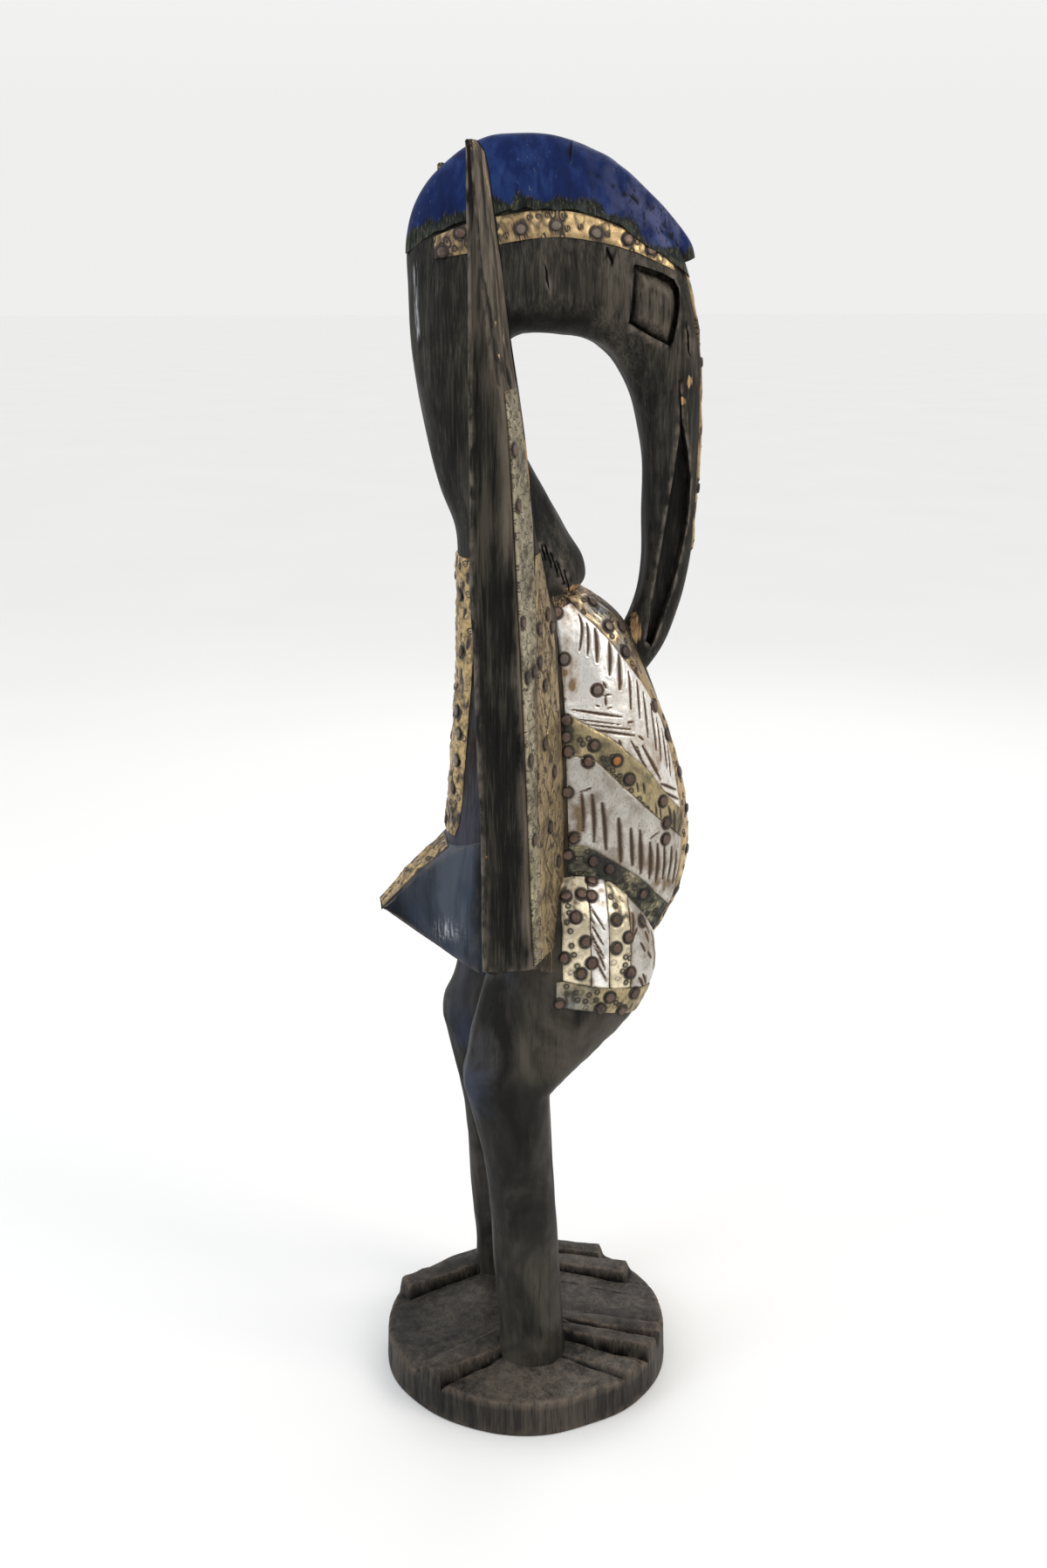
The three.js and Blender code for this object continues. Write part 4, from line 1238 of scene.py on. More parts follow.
def lay_sheet(node, finish, form, outline, spacing, material, seed, dents, cover,
              strokes=(), rings=(), nails=(), stains=(), pits=(), silvered=()):
    """A sheet of metal lying on a form: its outline and marks are drawn flat, then lifted on to it."""
    lift, facing = form
    flat, faces = filled(outline, spacing, ring_points(rings))
    _, edge = inside(outline, flat)
    base = lift(flat)
    step = 0.4
    across = lift(flat + (step, 0)) - lift(flat - (step, 0))
    up = lift(flat + (0, step)) - lift(flat - (0, step))
    normal = np.cross(across, up)
    normal /= np.linalg.norm(normal, axis=1, keepdims=True) + 1e-9
    normal *= np.sign(normal.mean(0) @ np.array(facing, float))

    def gap_to(spots):
        others = lift(np.array([spot[:2] for spot in spots], float))
        return np.linalg.norm(base[:, None] - others, axis=2).min(1)

    def spread_round(a, b, reach_a, reach_b):
        away = base - lift(np.array([[a, b]], float))[0]
        return (away[:, :2] ** 2).sum(1) / reach_a**2 + (away[:, 2] / reach_b) ** 2

    mark = np.zeros(len(flat))
    stain = cover * (0.6 + 0.5 * uneven(base, 14, seed + 9))
    height = sheet_rise + dents * uneven(base, 26, seed) + 0.4 * dents * uneven(base, 9, seed + 3)
    height -= 0.7 * np.clip(1 - edge / 2.2, 0, 1) ** 2
    share = np.linspace(0, 1, 9)[:, None]
    for a, b, c, d, *given in strokes:
        gap, place = stroke_distance(base, lift(np.array([a, b]) + np.array([c - a, d - b]) * share))
        taper = np.sin(np.pi * np.clip(place, 0.04, 0.96)) ** 0.7
        width = (given[0] if given else 1.3) * (0.45 + 0.75 * taper)
        height -= 0.95 * bell(gap / width)
        height += 0.40 * bell((gap - 2.0 * width) / (0.8 * width))
        mark = np.maximum(mark, 1 - soft_step(0.35, 1.05, gap / width))
        stain = np.maximum(stain, 0.85 * (1 - soft_step(0.9, 2.1, gap / width)))
    if len(rings):
        gap = gap_to(rings)
        height += 0.35 * bell((gap - 1.1) / 0.7) - 0.55 * bell((gap - 2.2) / 0.5)
        mark = highest(mark, bell((gap - 2.2) / 0.8), bell(gap / 0.8))
        stain = np.maximum(stain, 0.45 * (1 - soft_step(3.0, 5.5, gap)))
    shake = 0.6 * uneven(base, 7, seed + 11)
    for a, b, radius, depth in pits:
        gap = np.hypot(flat[:, 0] - a, (flat[:, 1] - b) * 0.75) + shake
        height += depth * bell(gap / radius) - 0.35 * depth * bell((gap - 1.7 * radius) / 1.1)
        mark = np.maximum(mark, 0.6 * bell((gap - 1.25 * radius) / 0.8))
    if len(nails):
        gap = gap_to(nails)
        height -= 0.5 * bell((gap - 6.2) / 1.2)
        mark = np.maximum(mark, bell((gap - 5.8) / 1.4))
        stain = np.maximum(stain, 0.7 * (1 - soft_step(5.8, 9.5, gap)))
    feather = 0.8 + 0.4 * uneven(base, (6, 6, 30), seed + 5) + 0.2 * uneven(base, 9, seed + 6)
    for *spot, strength in stains:
        stain = np.maximum(stain, strength * np.exp(-spread_round(*spot) / 1.5) * feather)
    # The hollows of the crumples are painted dark: painted shade in the creases, with grime.
    if dents > 0.5:
        fold = soft_step(-0.4, -1.0, uneven(base, (10, 10, 14), seed + 21))
        mark = np.maximum(mark, 0.9 * fold)
        height -= 0.8 * fold
    stain = np.maximum(stain, 0.6 * np.clip(1 - edge / 2.0, 0, 1))
    silver = np.zeros(len(flat))
    rubbing = 0.85 + 0.3 * uneven(base, (7, 7, 20), seed + 7)
    for *spot, strength in silvered:
        silver = np.maximum(silver, strength * np.exp(-spread_round(*spot)) * rubbing)
    place = base + normal * np.maximum(height, 0.35)[:, None]
    rim = rim_edges(faces, len(flat))
    rim_points = np.unique(rim)
    below = np.full(len(flat), -1)
    below[rim_points] = len(flat) + np.arange(len(rim_points))
    under = base[rim_points] - normal[rim_points] * sheet_thickness
    skirt = np.column_stack([rim[:, 1], rim[:, 0], below[rim[:, 0]], below[rim[:, 1]]])
    name = node + "_" + finish
    mesh = mesh_of(name, np.concatenate([place, under]), faces.tolist() + skirt.tolist())
    mesh.update()
    if np.array(mesh.polygons[0].normal) @ normal[faces[0, 0]] < 0:
        mesh.flip_normals()
    mesh.shade_smooth()
    mesh.set_sharp_from_angle(angle=math.radians(55))
    for title, values, at_rim in (("mark", mark, 0.6), ("stain", stain, 0.8), ("silvered", silver, 0.0)):
        set_mask(mesh, title, np.concatenate([values, np.full(len(rim_points), at_rim)]))
    drawn = np.concatenate([flat, flat[rim_points]]) / 1000
    drawn = np.column_stack([drawn, np.zeros(len(drawn))]).astype(np.float32)
    mesh.attributes.new("flat", "FLOAT_VECTOR", "POINT").data.foreach_set("vector", drawn.ravel())
    piece = place_piece(name, mesh, material)
    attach(piece, "root")
    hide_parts(node)


def rusty_iron():
    material, tree = new_material("rusty_nail_iron")
    old = use(tree, age, Spread=0.62)
    tarnish = old["Tarnish"]
    stops = [(0.0, (0.115, 0.072, 0.052)), (0.5, (0.060, 0.036, 0.026)), (1.0, (0.020, 0.014, 0.011))]
    colour = layered(
        ramp(tarnish, stops),
        (old["Speckle"] * 0.55, (0.17, 0.115, 0.085)),
        (mask(tree, "silver"), (0.19, 0.165, 0.135)),
        (mask(tree, "rust"), (0.42, 0.15, 0.03)),
        (mask(tree, "rim"), (0.012, 0.009, 0.008)),
    )
    shade(tree, {"Base Color": colour, "Metallic": tarnish * -0.3 + 0.55, "Roughness": tarnish * 0.2 + 0.42})
    shade(tree, {"Normal": bumped(old["Height"], 0.8, 0.0013)})
    return material


nail_iron = rusty_iron()
nail_sides = 16
nail_height = 2.8
nail_radii = 4.7, 5.5
nail_profile = (
    (1.0, 0.2, 1.0), (1.0, 1.5, 1.0), (0.9, 2.25, 0.8), (0.7, 2.65, 0.1), (0.34, nail_height, 0.0),
)


def drive_nails(name, form, nails):
    """Hand-driven nails with round, slightly battered heads, standing proud of the sheet."""
    lift, facing = form
    rng = np.random.default_rng(len(nails) * 7 + 3)
    turns = np.arange(nail_sides) * 2 * np.pi / nail_sides
    c, s = np.cos(turns)[:, None], np.sin(turns)[:, None]
    steps = [(i, (i + 1) % nail_sides) for i in range(nail_sides)]
    rim = [dark for _, _, dark in nail_profile for _ in turns] + [0.0]
    points, faces, rust, silver = [], [], [], []
    for n, (a, b, *kind) in enumerate(nails):
        flat = np.array([[a, b]], float)
        spot = lift(flat)[0]
        across = lift(flat + (0.5, 0))[0] - spot
        up = lift(flat + (0, 0.5))[0] - spot
        across /= np.linalg.norm(across)
        up -= across * (up @ across)
        up /= np.linalg.norm(up)
        out = np.cross(across, up)
        out *= np.sign(out @ np.array(facing, float) + 1e-6)
        radius = rng.uniform(*nail_radii)
        lean = rng.uniform(-0.06, 0.06, 2)
        wobble = 1 + 0.05 * np.sin(turns * 2 + rng.uniform(0, 6))
        wobble = wobble + 0.03 * np.sin(turns * 3 + rng.uniform(0, 6))
        tilt = 1 + lean[0] * c + lean[1] * s
        for share, rise, _ in nail_profile:
            reach = radius * share * wobble[:, None]
            points.append(spot + across * c * reach + up * s * reach + out * rise * tilt)
        points.append([spot + out * nail_height])
        first = n * len(rim)
        last = first + (len(nail_profile) - 1) * nail_sides
        for low in range(first, last, nail_sides):
            faces += [(low + i, low + j, low + nail_sides + j, low + nail_sides + i) for i, j in steps]
        faces += [(last + i, last + j, last + nail_sides) for i, j in steps]
        rust += [0.7 * ("rust" in kind)] * len(rim)
        silver += [0.5 * ("silver" in kind)] * len(rim)
    mesh = mesh_of(name, np.concatenate(points), faces, bmesh.ops.recalc_face_normals)
    mesh.shade_smooth()
    for title, values in (("rim", rim * len(nails)), ("rust", rust), ("silver", silver)):
        set_mask(mesh, title, values)
    piece = place_piece(name, mesh, nail_iron)
    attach(piece, "root")


# Marks round the body and the thighs are given in degrees from the spine and millimetres of
# height, and lie flat at so many millimetres a radian.
body_turn = 95.0
leg_turn = 64.0


def turned(marks, turn, both_ends=False):
    made = []
    for first, level, *rest in marks:
        if both_ends:
            rest = [math.radians(rest[0]) * turn, *rest[1:]]
        made.append((math.radians(first) * turn, level, *rest))
    return made


def flat_place(y, z, front, back, roundness, turn):
    share = (y - (front + back) / 2) / ((back - front) / 2)
    return np.stack([turn_at(share, roundness) * turn, z], -1)


def body_flat(y, z):
    return flat_place(y, z, belly_front(z), body_back(z), body_roundness, body_turn)


def body_form(side):
    return lambda flat: body_point(side * flat[:, 0] / body_turn, flat[:, 1]), (side, -0.5, 0)


def loop_of(x, y, back_x, back_y):
    """An outline out along one line and back along another."""
    return np.concatenate([np.stack([x, y], 1), np.stack([back_x, back_y], 1)[::-1]])


def lengths_along(line):
    return np.concatenate([[0], np.cumsum(np.hypot(*np.diff(line, axis=0).T))])


def patch(top, bottom, front, rear, seam=0.45):
    """The side view's y and z of an outline between a top and a bottom line, and a front and a rear."""
    y = np.arange(-190, 12, 0.25)[:, None]
    z = np.arange(425, 850, 0.5)[None, :]
    kept = (y > front(z) + seam) & (y < rear(z) - seam) & (z > bottom(y) + seam) & (z < top(y) - seam)
    y, kept = y[kept.any(1), 0], kept[kept.any(1)]
    low, high = z[0, kept.argmax(1)], z[0, kept.shape[1] - 1 - kept[:, ::-1].argmax(1)]
    line = loop_of(y, low, y, high)
    line = np.concatenate([line, line[:1]])
    at = lengths_along(line)
    even = np.linspace(0, at[-1], round(at[-1] / 1.6), endpoint=False)
    line = np.stack([np.interp(even, at, line[:, 0]), np.interp(even, at, line[:, 1])], 1)
    return (line + 0.35 * shaken(line, 9, 15)).T


front_seam = smooth_line([
    (494, -120), (508, -127), (535, -139), (565, -146), (600, -148), (634, -146), (669, -140), (700, -133),
    (711, -130), (727, -124), (741, -117), (762, -104), (777, -93), (792, -81.5), (804, -72), (818, -59),
    (829, -46), (840, -36), (846, -31),
])
wing_root = smooth_line([(494, -29), (603, -30), (667, -29), (736, -27), (790, -24), (843, -17)])
breast_top = level_line([(-60, 852), (-36, 840.5), (-25, 836), (-10, 830)])
diagonal_top = level_line([
    (0, 738), (-34, 737), (-48, 728), (-71, 715), (-107, 682), (-131, 650), (-170, 605),
])
diagonal_bottom = level_line([
    (0, 700), (-37, 699), (-57, 693), (-71, 679), (-89, 661), (-111, 639), (-136, 616), (-175, 576),
])
lower_top = level_line([(0, 612), (-48, 612), (-72, 595), (-103, 573), (-126, 546), (-150, 515)])
lower_bottom = level_line([(0, 583), (-48, 583), (-72, 568), (-89, 552), (-116, 518), (-132, 495)])
breast_strokes = [
    (115, 829, 103, 797), (116, 821, 107, 792), (120, 815, 112, 786, 2.0), (127, 802, 118, 773, 2.1),
    (131, 790, 122, 759, 2.1), (134, 773, 126, 739), (139, 763, 131, 729), (142, 752, 133, 710),
    (146, 739, 137, 696), (148, 725, 139, 685), (150, 713, 143, 676), (152, 701, 145, 668),
    (92, 743, 118, 733, 1.4), (93, 734, 116, 726, 0.8), (96, 729, 122, 720, 0.9), (96, 725, 123, 714, 1.4),
    (120, 709, 129, 667, 1.2), (123, 703, 126, 674, 0.8), (127, 703, 135, 667, 1.6),
    (126, 713, 129, 708, 0.9), (134, 664, 148, 653, 1.5), (134, 656, 149, 643, 1.4),
    (112, 767, 113, 761, 1.2), (110, 755, 115, 755, 0.9), (111, 754, 110, 745, 1.0),
    (104, 746, 106, 745, 1.0), (110, 742, 113, 743, 0.8), (113, 711, 113, 704, 1.8),
    (121, 727, 125, 727, 0.9), (107, 711, 109, 709, 0.9),
]
belly_strokes = [
    (91, 665, 91, 626, 1.4), (95, 661, 95, 615, 1.7), (99, 652, 100, 607, 2.1), (106, 636, 107, 593, 2.2),
    (112, 625, 113, 588, 1.9), (117, 622, 118, 578, 2.0), (123, 608, 124, 571, 2.0),
    (128, 605, 129, 566, 1.9), (133, 602, 134, 567, 1.7), (139, 598, 139, 562, 1.6),
    (144, 592, 145, 558, 1.6), (149, 587, 150, 553, 1.5), (129, 617, 123, 612, 0.9),
    (92, 665, 95, 668, 0.9),
]
body_nails = [
    (100, 832), (93, 790, "silver"), (107, 760, "silver"), (89, 733), (88, 717), (88, 703), (99, 708),
    (95, 693), (109, 692, "rust"), (114, 673), (86, 664), (88, 619), (86, 602), (134, 646), (135, 624),
    (134, 608), (95, 595), (102, 586), (106, 559), (122, 555), (103, 566), (143, 838), (134, 816, "silver"),
    (150, 813), (139, 791), (151, 736), (156, 705), (160, 667), (163, 628), (162, 586), (157, 545),
]
# Stains on the breast: the three broad, faint ones low down are painted shade on the lower, down-facing
# metal, with brown film.
breast_stains_and_shade = [
    (91, 773, 6, 12, 1.0), (95, 772, 5, 18, 1.0), (105, 828, 7, 13, 0.9), (112, 834, 7, 9, 0.8),
    (96, 806, 7, 11, 0.5), (87, 745, 6, 34, 0.8), (125, 700, 9, 14, 0.4), (104, 702, 46, 30, 0.62),
    (140, 678, 40, 30, 0.55), (112, 748, 30, 16, 0.3),
]
belly_stains = [
    (86, 650, 7, 16, 1.0), (89, 634, 6, 26, 0.9), (100, 625, 6, 16, 0.4), (135, 563, 14, 10, 0.9),
    (112, 680, 16, 8, 0.45), (145, 575, 10, 26, 0.5),
]
scored_aluminium = aged_metal(
    "scored_aluminium", (0.96, 0.94, 0.89), (0.54, 0.51, 0.46), (0.042, 0.020, 0.010),
    (0.21, 0.130, 0.066), 0.48, 0.30,
)
# A darker copy of the aluminium for the belly and the outer thigh: duller metal, darkened further as painted
# shade where the belly faces down.
dull_and_shaded_aluminium = aged_metal(
    "dull_and_shaded_aluminium", (0.60, 0.575, 0.53), (0.30, 0.28, 0.245), (0.036, 0.020, 0.011),
    (0.17, 0.115, 0.065), 0.66, 0.34,
)


def body_patch(side, top, bottom):
    return body_flat(*patch(top, bottom, front_seam, lambda z: wing_root(z) - wing_forward(side, z)))


def build_aluminium_sheets(side, spacing):
    for title, top, bottom, strokes, stains, material, seed, cover in (
        ("breast", breast_top, diagonal_top, breast_strokes, breast_stains_and_shade, scored_aluminium, 101, 0.02),
        # The belly also takes a heavier brown film: painted shade on the down-facing metal, with film.
        ("belly", diagonal_bottom, lower_top, belly_strokes, belly_stains, dull_and_shaded_aluminium, 105, 0.30),
    ):
        lay_sheet(
            "aluminium_" + title + "_sheet_" + hand_of(side), "scored", body_form(side),
            body_patch(side, top, bottom), spacing, material, seed + side, 0.14, cover,
            strokes=turned(strokes, body_turn, True), nails=turned(body_nails, body_turn),
            stains=turned(stains, body_turn),
        )


build_aluminium_sheets(-1, 1.35)
build_aluminium_sheets(1, 2.0)


# The brass on the body: a slanting band under the breast, a blackened one over the thigh and a
# strip down the front edge, stamped with a ring punch and nailed down over the aluminium.
olive_brass = aged_metal(
    "olive_brass", (0.56, 0.45, 0.25), (0.24, 0.20, 0.11), (0.026, 0.020, 0.012), (0.050, 0.046, 0.030),
    0.62, 0.34, 0.5, Rings=105.0, Ring_share=0.0, Across=260.0, Along=60.0, Cell_share=0.35,
)
gold_brass = aged_metal(
    "gold_brass", (0.66, 0.47, 0.23), (0.31, 0.205, 0.095), (0.020, 0.012, 0.008), (0.050, 0.034, 0.022),
    0.55, 0.28, 0.9, Rings=110.0, Ring_share=0.26, Across=90.0, Along=90.0, Cell_share=0.10,
)
pale_brass = aged_metal(
    "pale_brass", (0.92, 0.81, 0.58), (0.46, 0.38, 0.24), (0.026, 0.018, 0.012), (0.060, 0.048, 0.030),
    0.56, 0.28, 0.8, Rings=150.0, Ring_share=0.0, Across=90.0, Along=90.0, Cell_share=0.08,
)
blackened_brass = aged_metal(
    "blackened_brass", (0.46, 0.40, 0.25), (0.055, 0.058, 0.045), (0.012, 0.011, 0.008),
    (0.030, 0.031, 0.024), 0.86, 0.34, 0.8, Rings=115.0, Ring_share=0.25, Across=150.0, Along=110.0,
    Cell_share=0.5,
)
diagonal_rings = [
    (93, 714), (97, 715), (94, 710), (102, 695), (104, 694), (107, 696), (104, 686), (106, 683), (106, 677),
    (109, 677), (108, 671), (114, 662), (118, 653), (119, 647), (122, 642), (124, 637),
]
diagonal_cuts = [
    (118, 669, 118, 660, 0.8), (122, 667, 122, 657, 0.8), (128, 645, 128, 632, 0.9),
    (131, 641, 131, 629, 0.9), (138, 640, 139, 622, 1.0), (142, 634, 142, 615, 1.0),
]
diagonal_stains = [(88, 715, 7, 22, 1.0), (90, 703, 9, 9, 0.7), (101, 700, 6, 6, 0.5), (148, 610, 9, 14, 0.8)]
strip_reach = smooth_line([(496, 21), (735, 22), (756, 37), (787, 38), (796, 26), (846, 27)])


def strip_outline(low, high):
    z = np.arange(low, high, 1.6)
    start = body_flat(front_seam(z) - 0.6, z)[:, 0]
    share = strip_reach(z) / (belly_half_width * body_width(z))
    end = (np.pi - turn_beside(share, body_roundness)) * body_turn
    kept = end - start > 2.5
    return loop_of(end[kept], z[kept], start[kept], z[kept])


def pits_of(outline, count, apart, seed, radius, depth):
    return [(*spot, radius, depth) for spot in scattered(outline, count, apart, seed)]


def build_body_brass(side, spacing):
    form = body_form(side)
    nails = turned(body_nails, body_turn)
    lay_sheet(
        "brass_diagonal_band_" + hand_of(side), "punched", form,
        body_patch(side, diagonal_top, diagonal_bottom), spacing, olive_brass, 111 + side, 0.35, 0.42,
        strokes=turned(diagonal_cuts, body_turn, True), rings=turned(diagonal_rings, body_turn), nails=nails,
        stains=turned(diagonal_stains, body_turn),
    )
    outline = body_patch(side, lower_top, lower_bottom)
    lay_sheet(
        "brass_lower_band_" + hand_of(side), "punched", form, outline, spacing, blackened_brass,
        121 + side, 0.5, 0.45,
        rings=scattered(outline, 16, 7, 5), nails=nails, pits=pits_of(outline, 44, 5.5, 6, 2.6, 0.9),
    )
    outline = strip_outline(496, 846)
    lay_sheet(
        "brass_breast_strip_" + hand_of(side), "punched", form, outline, spacing, gold_brass,
        131 + side, 0.4, 0.45,
        rings=scattered(outline, 30, 8, 8), nails=nails, pits=pits_of(outline, 30, 9, 9, 1.8, -0.6),
        stains=turned([(128, 842, 9, 12, 0.9), (141, 770, 7, 14, 0.8)], body_turn),
        silvered=turned([(140, 832, 16, 22, 1.0), (138, 800, 14, 14, 0.7)], body_turn),
    )
    drive_nails("body_nails_" + hand_of(side), form, nails)


build_body_brass(-1, 1.35)
build_body_brass(1, 2.0)


# The thigh panels: upright strips of brass and aluminium laid round the swell of the thigh, with
# a brass band nailed across their feet.
thigh_top = level_line([(0, 590), (-48, 588), (-72, 572), (-90, 556), (-118, 520), (-132, 500)])
band_top = level_line([(0, 487), (-21, 486), (-56, 477), (-82, 473), (-106, 468), (-140, 462)])
band_bottom = level_line([(0, 462), (-26, 458), (-51, 452), (-72, 447), (-89, 442), (-140, 428)])
leg_nails = [
    (113, 575), (82, 565), (96, 566), (106, 564), (90, 547), (94, 524), (81, 509), (91, 493), (97, 503),
    (122, 541), (128, 523), (115, 515), (127, 488), (153, 533), (114, 466), (137, 465), (83, 463),
    (110, 455), (131, 449),
]
leg_rings = [
    (85, 557), (86, 551), (84, 543), (86, 535), (86, 521), (87, 512), (89, 501), (128, 561), (128, 553),
    (122, 505), (126, 503), (122, 497), (120, 491), (124, 479), (124, 490), (104, 465), (98, 471),
    (97, 465), (90, 474), (92, 467), (103, 473), (121, 459), (125, 456), (84, 481),
]
thigh_strokes = [
    (102, 557, 109, 534, 0.9), (99, 549, 103, 538, 0.8), (100, 540, 106, 519, 1.0),
    (99, 527, 105, 507, 1.1), (99, 520, 106, 496, 1.0), (99, 506, 108, 483, 1.0), (98, 534, 101, 523, 0.8),
]
outer_thigh_strokes = [
    (143, 543, 135, 527, 1.3), (141, 529, 135, 523, 1.1), (151, 523, 151, 512, 1.1),
    (148, 504, 154, 496, 1.2), (141, 483, 151, 470, 1.4), (136, 481, 150, 466, 1.2),
    (139, 515, 143, 506, 1.2), (159, 540, 157, 520, 1.2), (163, 520, 160, 500, 1.2),
    (166, 500, 161, 482, 1.2),
]
thigh_stains = [
    (86, 570, 16, 16, 0.9), (84, 548, 9, 14, 0.6), (120, 564, 16, 12, 0.8), (131, 543, 9, 9, 0.7),
    (150, 510, 12, 14, 0.5),
]
thigh_band_stains = [(88, 470, 12, 12, 0.7), (140, 455, 10, 12, 0.6), (112, 462, 16, 8, 0.5)]


def upright(y):
    return lambda z: y


def build_thigh_metal(side, spacing):
    form = (lambda flat: leg_point(side, side * flat[:, 0] / leg_turn, flat[:, 1])), (side, -0.5, 0)
    nails = turned(leg_nails, leg_turn)
    rings = turned(leg_rings, leg_turn)

    def outline_of(top, bottom, front, rear):
        y, z = patch(top, bottom, front, rear)
        return flat_place(y, z, *leg_ends(side, z), leg_roundness, leg_turn)

    def leg_front_edge(z):
        return leg_ends(side, z)[0]

    for n, (name, front, rear, material, strokes, punched, cover) in enumerate((
        ("brass_thigh_panel_rear_", upright(-48), -20, pale_brass, (), rings, 0.06),
        ("aluminium_thigh_panel_inner_", upright(-66), -48, scored_aluminium, thigh_strokes, (), 0.0),
        ("brass_thigh_panel_front_", upright(-88), -66, pale_brass, (), rings, 0.12),
        ("aluminium_thigh_panel_outer_", leg_front_edge, -88, dull_and_shaded_aluminium, outer_thigh_strokes, (), 0.15),
    )):
        outline = outline_of(thigh_top, band_top, front, upright(rear))
        lay_sheet(
            name + hand_of(side), "punched", form, outline, spacing, material,
            141 + 4 * n + side, 0.35, cover,
            strokes=turned(strokes, leg_turn, True), rings=punched, nails=nails,
            stains=turned(thigh_stains, leg_turn),
            pits=pits_of(outline, 7, 9, 40 + n, 1.3, -0.4) if punched else (),
        )
    outline = outline_of(band_top, band_bottom, leg_front_edge, upright(-14))
    lay_sheet(
        "brass_thigh_band_" + hand_of(side), "punched", form, outline, spacing, olive_brass,
        171 + side, 0.4, 0.42,
        rings=rings, nails=nails, stains=turned(thigh_band_stains, leg_turn),
        pits=pits_of(outline, 22, 6, 51, 1.4, -0.5), silvered=turned([(86, 458, 24, 22, 1.0)], leg_turn),
    )
    drive_nails("thigh_nails_" + hand_of(side), form, nails)


build_thigh_metal(-1, 1.3)
build_thigh_metal(1, 2.0)


# The wing strips: two long strips up the front face of each wing, one grey and pebbled by a punch,
# one tan and scored with long leaf shapes, both torn off ragged at the top.
pebbled_brass = aged_metal(
    "pebbled_grey_brass", (0.54, 0.480, 0.335), (0.20, 0.185, 0.130), (0.030, 0.022, 0.012),
    (0.110, 0.078, 0.040), 0.60, 0.33, 0.9, Rings=150.0, Ring_share=0.25, Across=85.0, Along=130.0,
    Cell_share=0.85, Whole=0.22,
)
leafed_brass = aged_metal(
    "leafed_tan_brass", (0.50, 0.39, 0.225), (0.19, 0.140, 0.080), (0.032, 0.020, 0.010),
    (0.120, 0.080, 0.040), 0.60, 0.36, 0.9, Rings=120.0, Ring_share=0.06, Across=85.0, Along=24.0,
    Cell_share=0.9, Whole=0.55,
)
strip_foot = 519
outer_strip_edges = [
    smooth_line([(519, 148.5), (929, 148), (1040, 144)]),
    smooth_line([
        (519, 136), (607, 133), (690, 129), (742, 126), (768, 136), (796, 120.5), (858, 117), (883, 130),
        (906, 116), (930, 115), (970, 118), (1040, 124),
    ]),
]
inner_strip_edges = [
    smooth_line([(519, 134), (604, 131), (687, 127), (767, 121.5), (846, 116), (880, 114), (896, 111)]),
    smooth_line([(519, 79), (609, 75), (671, 73), (794, 78), (842, 86), (880, 97), (896, 101)]),
]
strip_nails = [
    (141, 990, "silver"), (141, 943), (144, 842), (140, 792), (126, 794), (141, 716), (139, 640),
    (112, 830), (93, 839), (85, 826), (114, 799), (105, 776), (110, 722), (92, 690), (104, 640), (88, 600),
]


def leaves_between(edges):
    made = []
    for i, level in enumerate(range(868, 560, -38)):
        outer, inner = [edge(level) for edge in edges]
        middle, half = (outer + inner) / 2 + 4 * (-1) ** i, (outer - inner) / 4
        for x in (middle - half, middle + half):
            made += [(middle, level, x, level - 24, 0.9), (x, level - 24, middle, level - 50, 0.9)]
    return made


def build_wing_strips(side, spacing):
    form = (
        lambda flat: np.stack([side * flat[:, 0], wing_front_y(side, *flat.T), flat[:, 1]], 1),
        (side * 0.3, -1, 0),
    )
    leaves = leaves_between(inner_strip_edges)
    for title, edges, high, material, strokes, (count, apart, radius), stains in (
        (
            "outer", outer_strip_edges, 1040, pebbled_brass, (), (90, 5.0, 1.8),
            ((130, 660, 9, 60, 0.6), (128, 850, 8, 50, 0.5)),
        ),
        (
            "inner", inner_strip_edges, 896, leafed_brass, leaves, (70, 7.5, 2.2),
            ((86, 545, 12, 24, 1.0), (100, 525, 20, 12, 0.9)),
        ),
    ):
        z = np.arange(strip_foot, high + 0.1, 1.5)
        ragged = 0.5 * uneven(z, 23, 61) + 0.3 * uneven(z, 7, 62)
        outline = loop_of(edges[0](z) + ragged * 0.5, z, edges[1](z) + ragged, z)
        top = outline[:, 1] > high - 3
        outline[top, 1] += np.where(np.arange(top.sum()) % 2, -3.0, 1.0)
        spots = scattered(outline, count, apart, 71)
        lay_sheet(
            "brass_wing_strip_" + title + "_" + hand_of(side), "stamped", form, outline, spacing, material,
            181 + side, 0.25, 0.25, strokes=strokes, nails=strip_nails, stains=stains,
            pits=[(*spot, radius, 0.45 if i % 2 else -0.55) for i, spot in enumerate(spots)],
        )
    drive_nails("wing_strip_nails_" + hand_of(side), form, strip_nails)


build_wing_strips(-1, 1.4)
build_wing_strips(1, 2.1)


# The head band: a narrow brass strip nailed along the foot of the crest on each side, with a row
# of ring marks, bright over the cheek and blackened where it runs on to the beak.
arch_turn = 40.0
band_upper = level_line([
    (87, 1164), (60, 1174), (30, 1181), (0, 1186), (-28, 1186), (-50, 1183), (-79, 1173), (-99, 1163),
    (-133, 1141),
])
band_lower = level_line([
    (86, 1146), (60, 1150), (25, 1159), (-7, 1164), (-28, 1164), (-47, 1162), (-74, 1157), (-95, 1151),
    (-131, 1136),
])
band_nails = [
    (79, 1151), (63, 1167), (40, 1174), (11, 1170, "silver"), (-20, 1173, "silver"), (-56, 1167, "silver"),
    (-85, 1162), (-107, 1153),
]
band_rings = [
    (68, 1154), (58, 1158), (52, 1155), (32, 1172), (30, 1163), (24, 1165), (3, 1180), (-5, 1181),
    (-13, 1182), (-28, 1181), (-30, 1171), (-42, 1172), (-66, 1166), (-94, 1160),
]
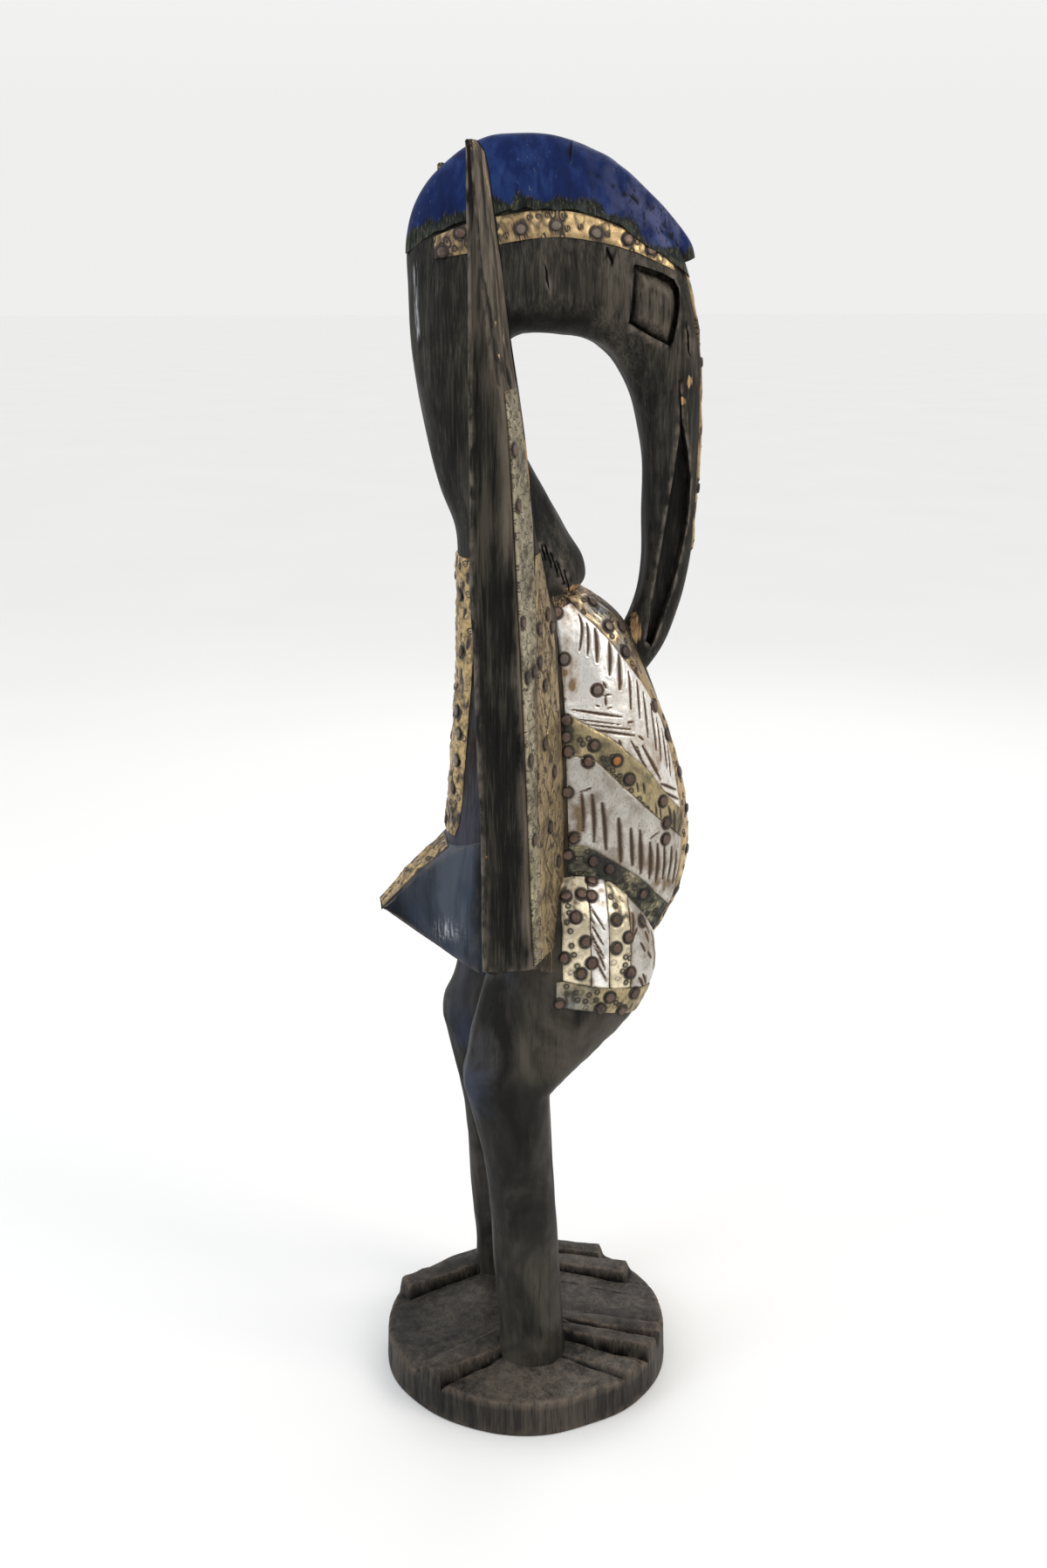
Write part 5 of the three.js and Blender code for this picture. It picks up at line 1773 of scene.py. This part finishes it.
band_stains = [
    (78, 1157, 26, 20, 1.5), (56, 1162, 22, 16, 1.2), (-75, 1163, 12, 9, 0.6), (-112, 1152, 16, 10, 0.9),
]


def arch_flat(marks):
    """Side-view marks on the head, laid flat: round the arch from its outer ridge, and along it."""
    t, share = arch_place([mark[0] for mark in marks], [mark[1] for mark in marks])
    angle = turn_at(share, arch_roundness) * arch_turn
    return [(a, b, *mark[2:]) for a, b, mark in zip(angle, t, marks)]


def arch_form(side, facing):
    return lambda flat: arch_point(side * flat[:, 0] / arch_turn, flat[:, 1]), facing


def build_head_band(side, spacing):
    y = np.arange(-130, 86, 2.2)
    outline = np.array(arch_flat(loop_of(y, band_lower(y), y, band_upper(y))))
    nails = arch_flat(band_nails)
    form = arch_form(side, (side, 0, 0))
    lay_sheet(
        "brass_head_band_" + hand_of(side), "punched", form, outline, spacing, gold_brass,
        201 + side, 0.16, 0.5,
        rings=arch_flat(band_rings), nails=nails, stains=arch_flat(band_stains),
        pits=pits_of(outline, 14, 9, 81, 2.2, 0.4),
    )
    drive_nails("head_band_nails_" + hand_of(side), form, nails)


build_head_band(-1, 1.2)
build_head_band(1, 1.8)


# The beak strip: one thin brass strip folded over the front ridge of the beak and tacked down
# it, dull with handling and marked with rings and pits.
beak_inner_line = [
    (-133, 1130), (-139, 1121), (-146, 1105), (-151, 1079), (-153, 1045), (-155, 990), (-155, 941),
    (-157, 905), (-157, 880),
]


def build_beak_strip():
    side_line = np.array(arch_flat(beak_inner_line))
    t = np.arange(side_line[0, 1] + 1, side_line[-1, 1] - 1, 1.8)
    reach = np.interp(t, side_line[:, 1], side_line[:, 0])
    half, narrowing = arch_row(t)[4:]
    straight = turn_beside(14 / (half * (1 - narrowing)), arch_roundness) * arch_turn
    reach = np.minimum(reach, straight) + 0.3 * uneven(t, 17, 91)
    outline = loop_of(reach, t, -reach, t)
    nails = [(side * reach[i] * 0.55, t[i]) for i, side in ((14, 1), (38, -1), (66, 1), (92, -1), (116, 1))]
    form = arch_form(1, (0, -1, 0.1))
    lay_sheet(
        "brass_beak_strip", "punched", form, outline, 1.6, gold_brass, 211, 0.3, 0.8,
        rings=scattered(outline, 22, 9, 92), nails=nails, pits=pits_of(outline, 30, 8, 93, 2.2, -0.6),
    )
    drive_nails("beak_strip_nails", form, nails)


build_beak_strip()


# The spine strip and the tail strip: crumpled brass tapped down over the back and the tail's
# sloping top, with painted shade in its creases, silvery nails and a blackened foot.
crumpled_brass = aged_metal(
    "crumpled_brass", (0.62, 0.44, 0.20), (0.27, 0.175, 0.080), (0.020, 0.015, 0.010),
    (0.040, 0.035, 0.028), 0.56, 0.30, 0.8, Rings=100.0, Ring_share=0.16, Across=70.0, Along=80.0,
    Cell_share=0.35,
)
spine_nails = [
    (-13.9, 731, "silver"), (-22, 711, "silver"), (-21, 684, "silver"), (14, 700, "silver"), (17, 748),
    (18, 655), (-17, 655), (0, 618), (-18, 790), (16, 812), (-16, 845), (16, 858),
]
spine_rings = [(-20, 762), (-24, 642), (-19, 633), (-22, 627), (-14, 640), (12, 640), (4, 632), (-8, 668)]
spine_stains = [(-20, 632, 20, 17, 1.0), (10, 630, 20, 17, 0.9), (-22, 757, 8, 10, 0.8)]
tail_slope = np.array([row[:2] for row in tail_rows[3:]], float)
tail_slope_at = lengths_along(tail_slope)


def back_lift(flat):
    x, z = np.abs(flat[:, 0]), flat[:, 1]
    egg = np.minimum(x / (belly_half_width * body_width(z) * 0.96), 0.98)
    front, back = belly_front(z), body_back(z)
    y = (front + back) / 2 + (back - front) / 2 * swell(egg, body_roundness)
    rows = np.array(arch_rows[:6], float)
    outer, inner, half = [np.interp(z, rows[:, 1], rows[:, i]) for i in (0, 2, 4)]
    neck = (outer + inner) / 2 + (outer - inner) / 2 * swell(np.minimum(x / half, 0.98), arch_roundness)
    y = y + np.maximum(neck - y, 0) * soft_step(836, 848, z)
    return np.stack([flat[:, 0], y, z], 1)


def slope_lift(flat):
    y, z = [np.interp(flat[:, 1], tail_slope_at, line) for line in tail_slope.T]
    return np.stack([flat[:, 0], y, z], 1)


def crumples(outline, count, seed, low, high):
    spots = scattered(outline, count, 7, seed)
    return [(*spot, 2.8, high if i % 3 else low) for i, spot in enumerate(spots)]


def build_back_strips():
    z = np.arange(608, 882, 1.6)
    half = 33 + 0.6 * uneven(z, 31, 95) - 5 * soft_step(628, 606, z)
    outline = loop_of(half, z, -half, z)
    form = back_lift, (0, 1, 0)
    lay_sheet(
        "brass_spine_strip", "crumpled", form, outline, 1.5, crumpled_brass, 221, 0.6, 0.36,
        rings=spine_rings, nails=spine_nails, stains=spine_stains, pits=crumples(outline, 130, 96, -0.9, 0.6),
    )
    drive_nails("spine_strip_nails", form, spine_nails)
    s = np.arange(2.6, tail_slope_at[-1] - 0.4, 1.6)
    y = np.interp(s, tail_slope_at, tail_slope[:, 0])
    share = np.interp(y, [row[0] for row in tail_rows], [min(row[3], 1) for row in tail_rows])
    half = tail_half_width * share - 2.6 + 0.7 * uneven(s, 13, 97)
    outline = loop_of(half, s, -half, s)
    lay_sheet(
        "brass_tail_strip", "crumpled", (slope_lift, (0, 0.6, 0.8)), outline, 1.5, crumpled_brass,
        231, 0.6, 0.2,
        rings=scattered(outline, 8, 10, 98), stains=[(0, 8, 22, 7, 0.9)],
        pits=crumples(outline, 44, 99, -0.8, 1.0),
    )


build_back_strips()
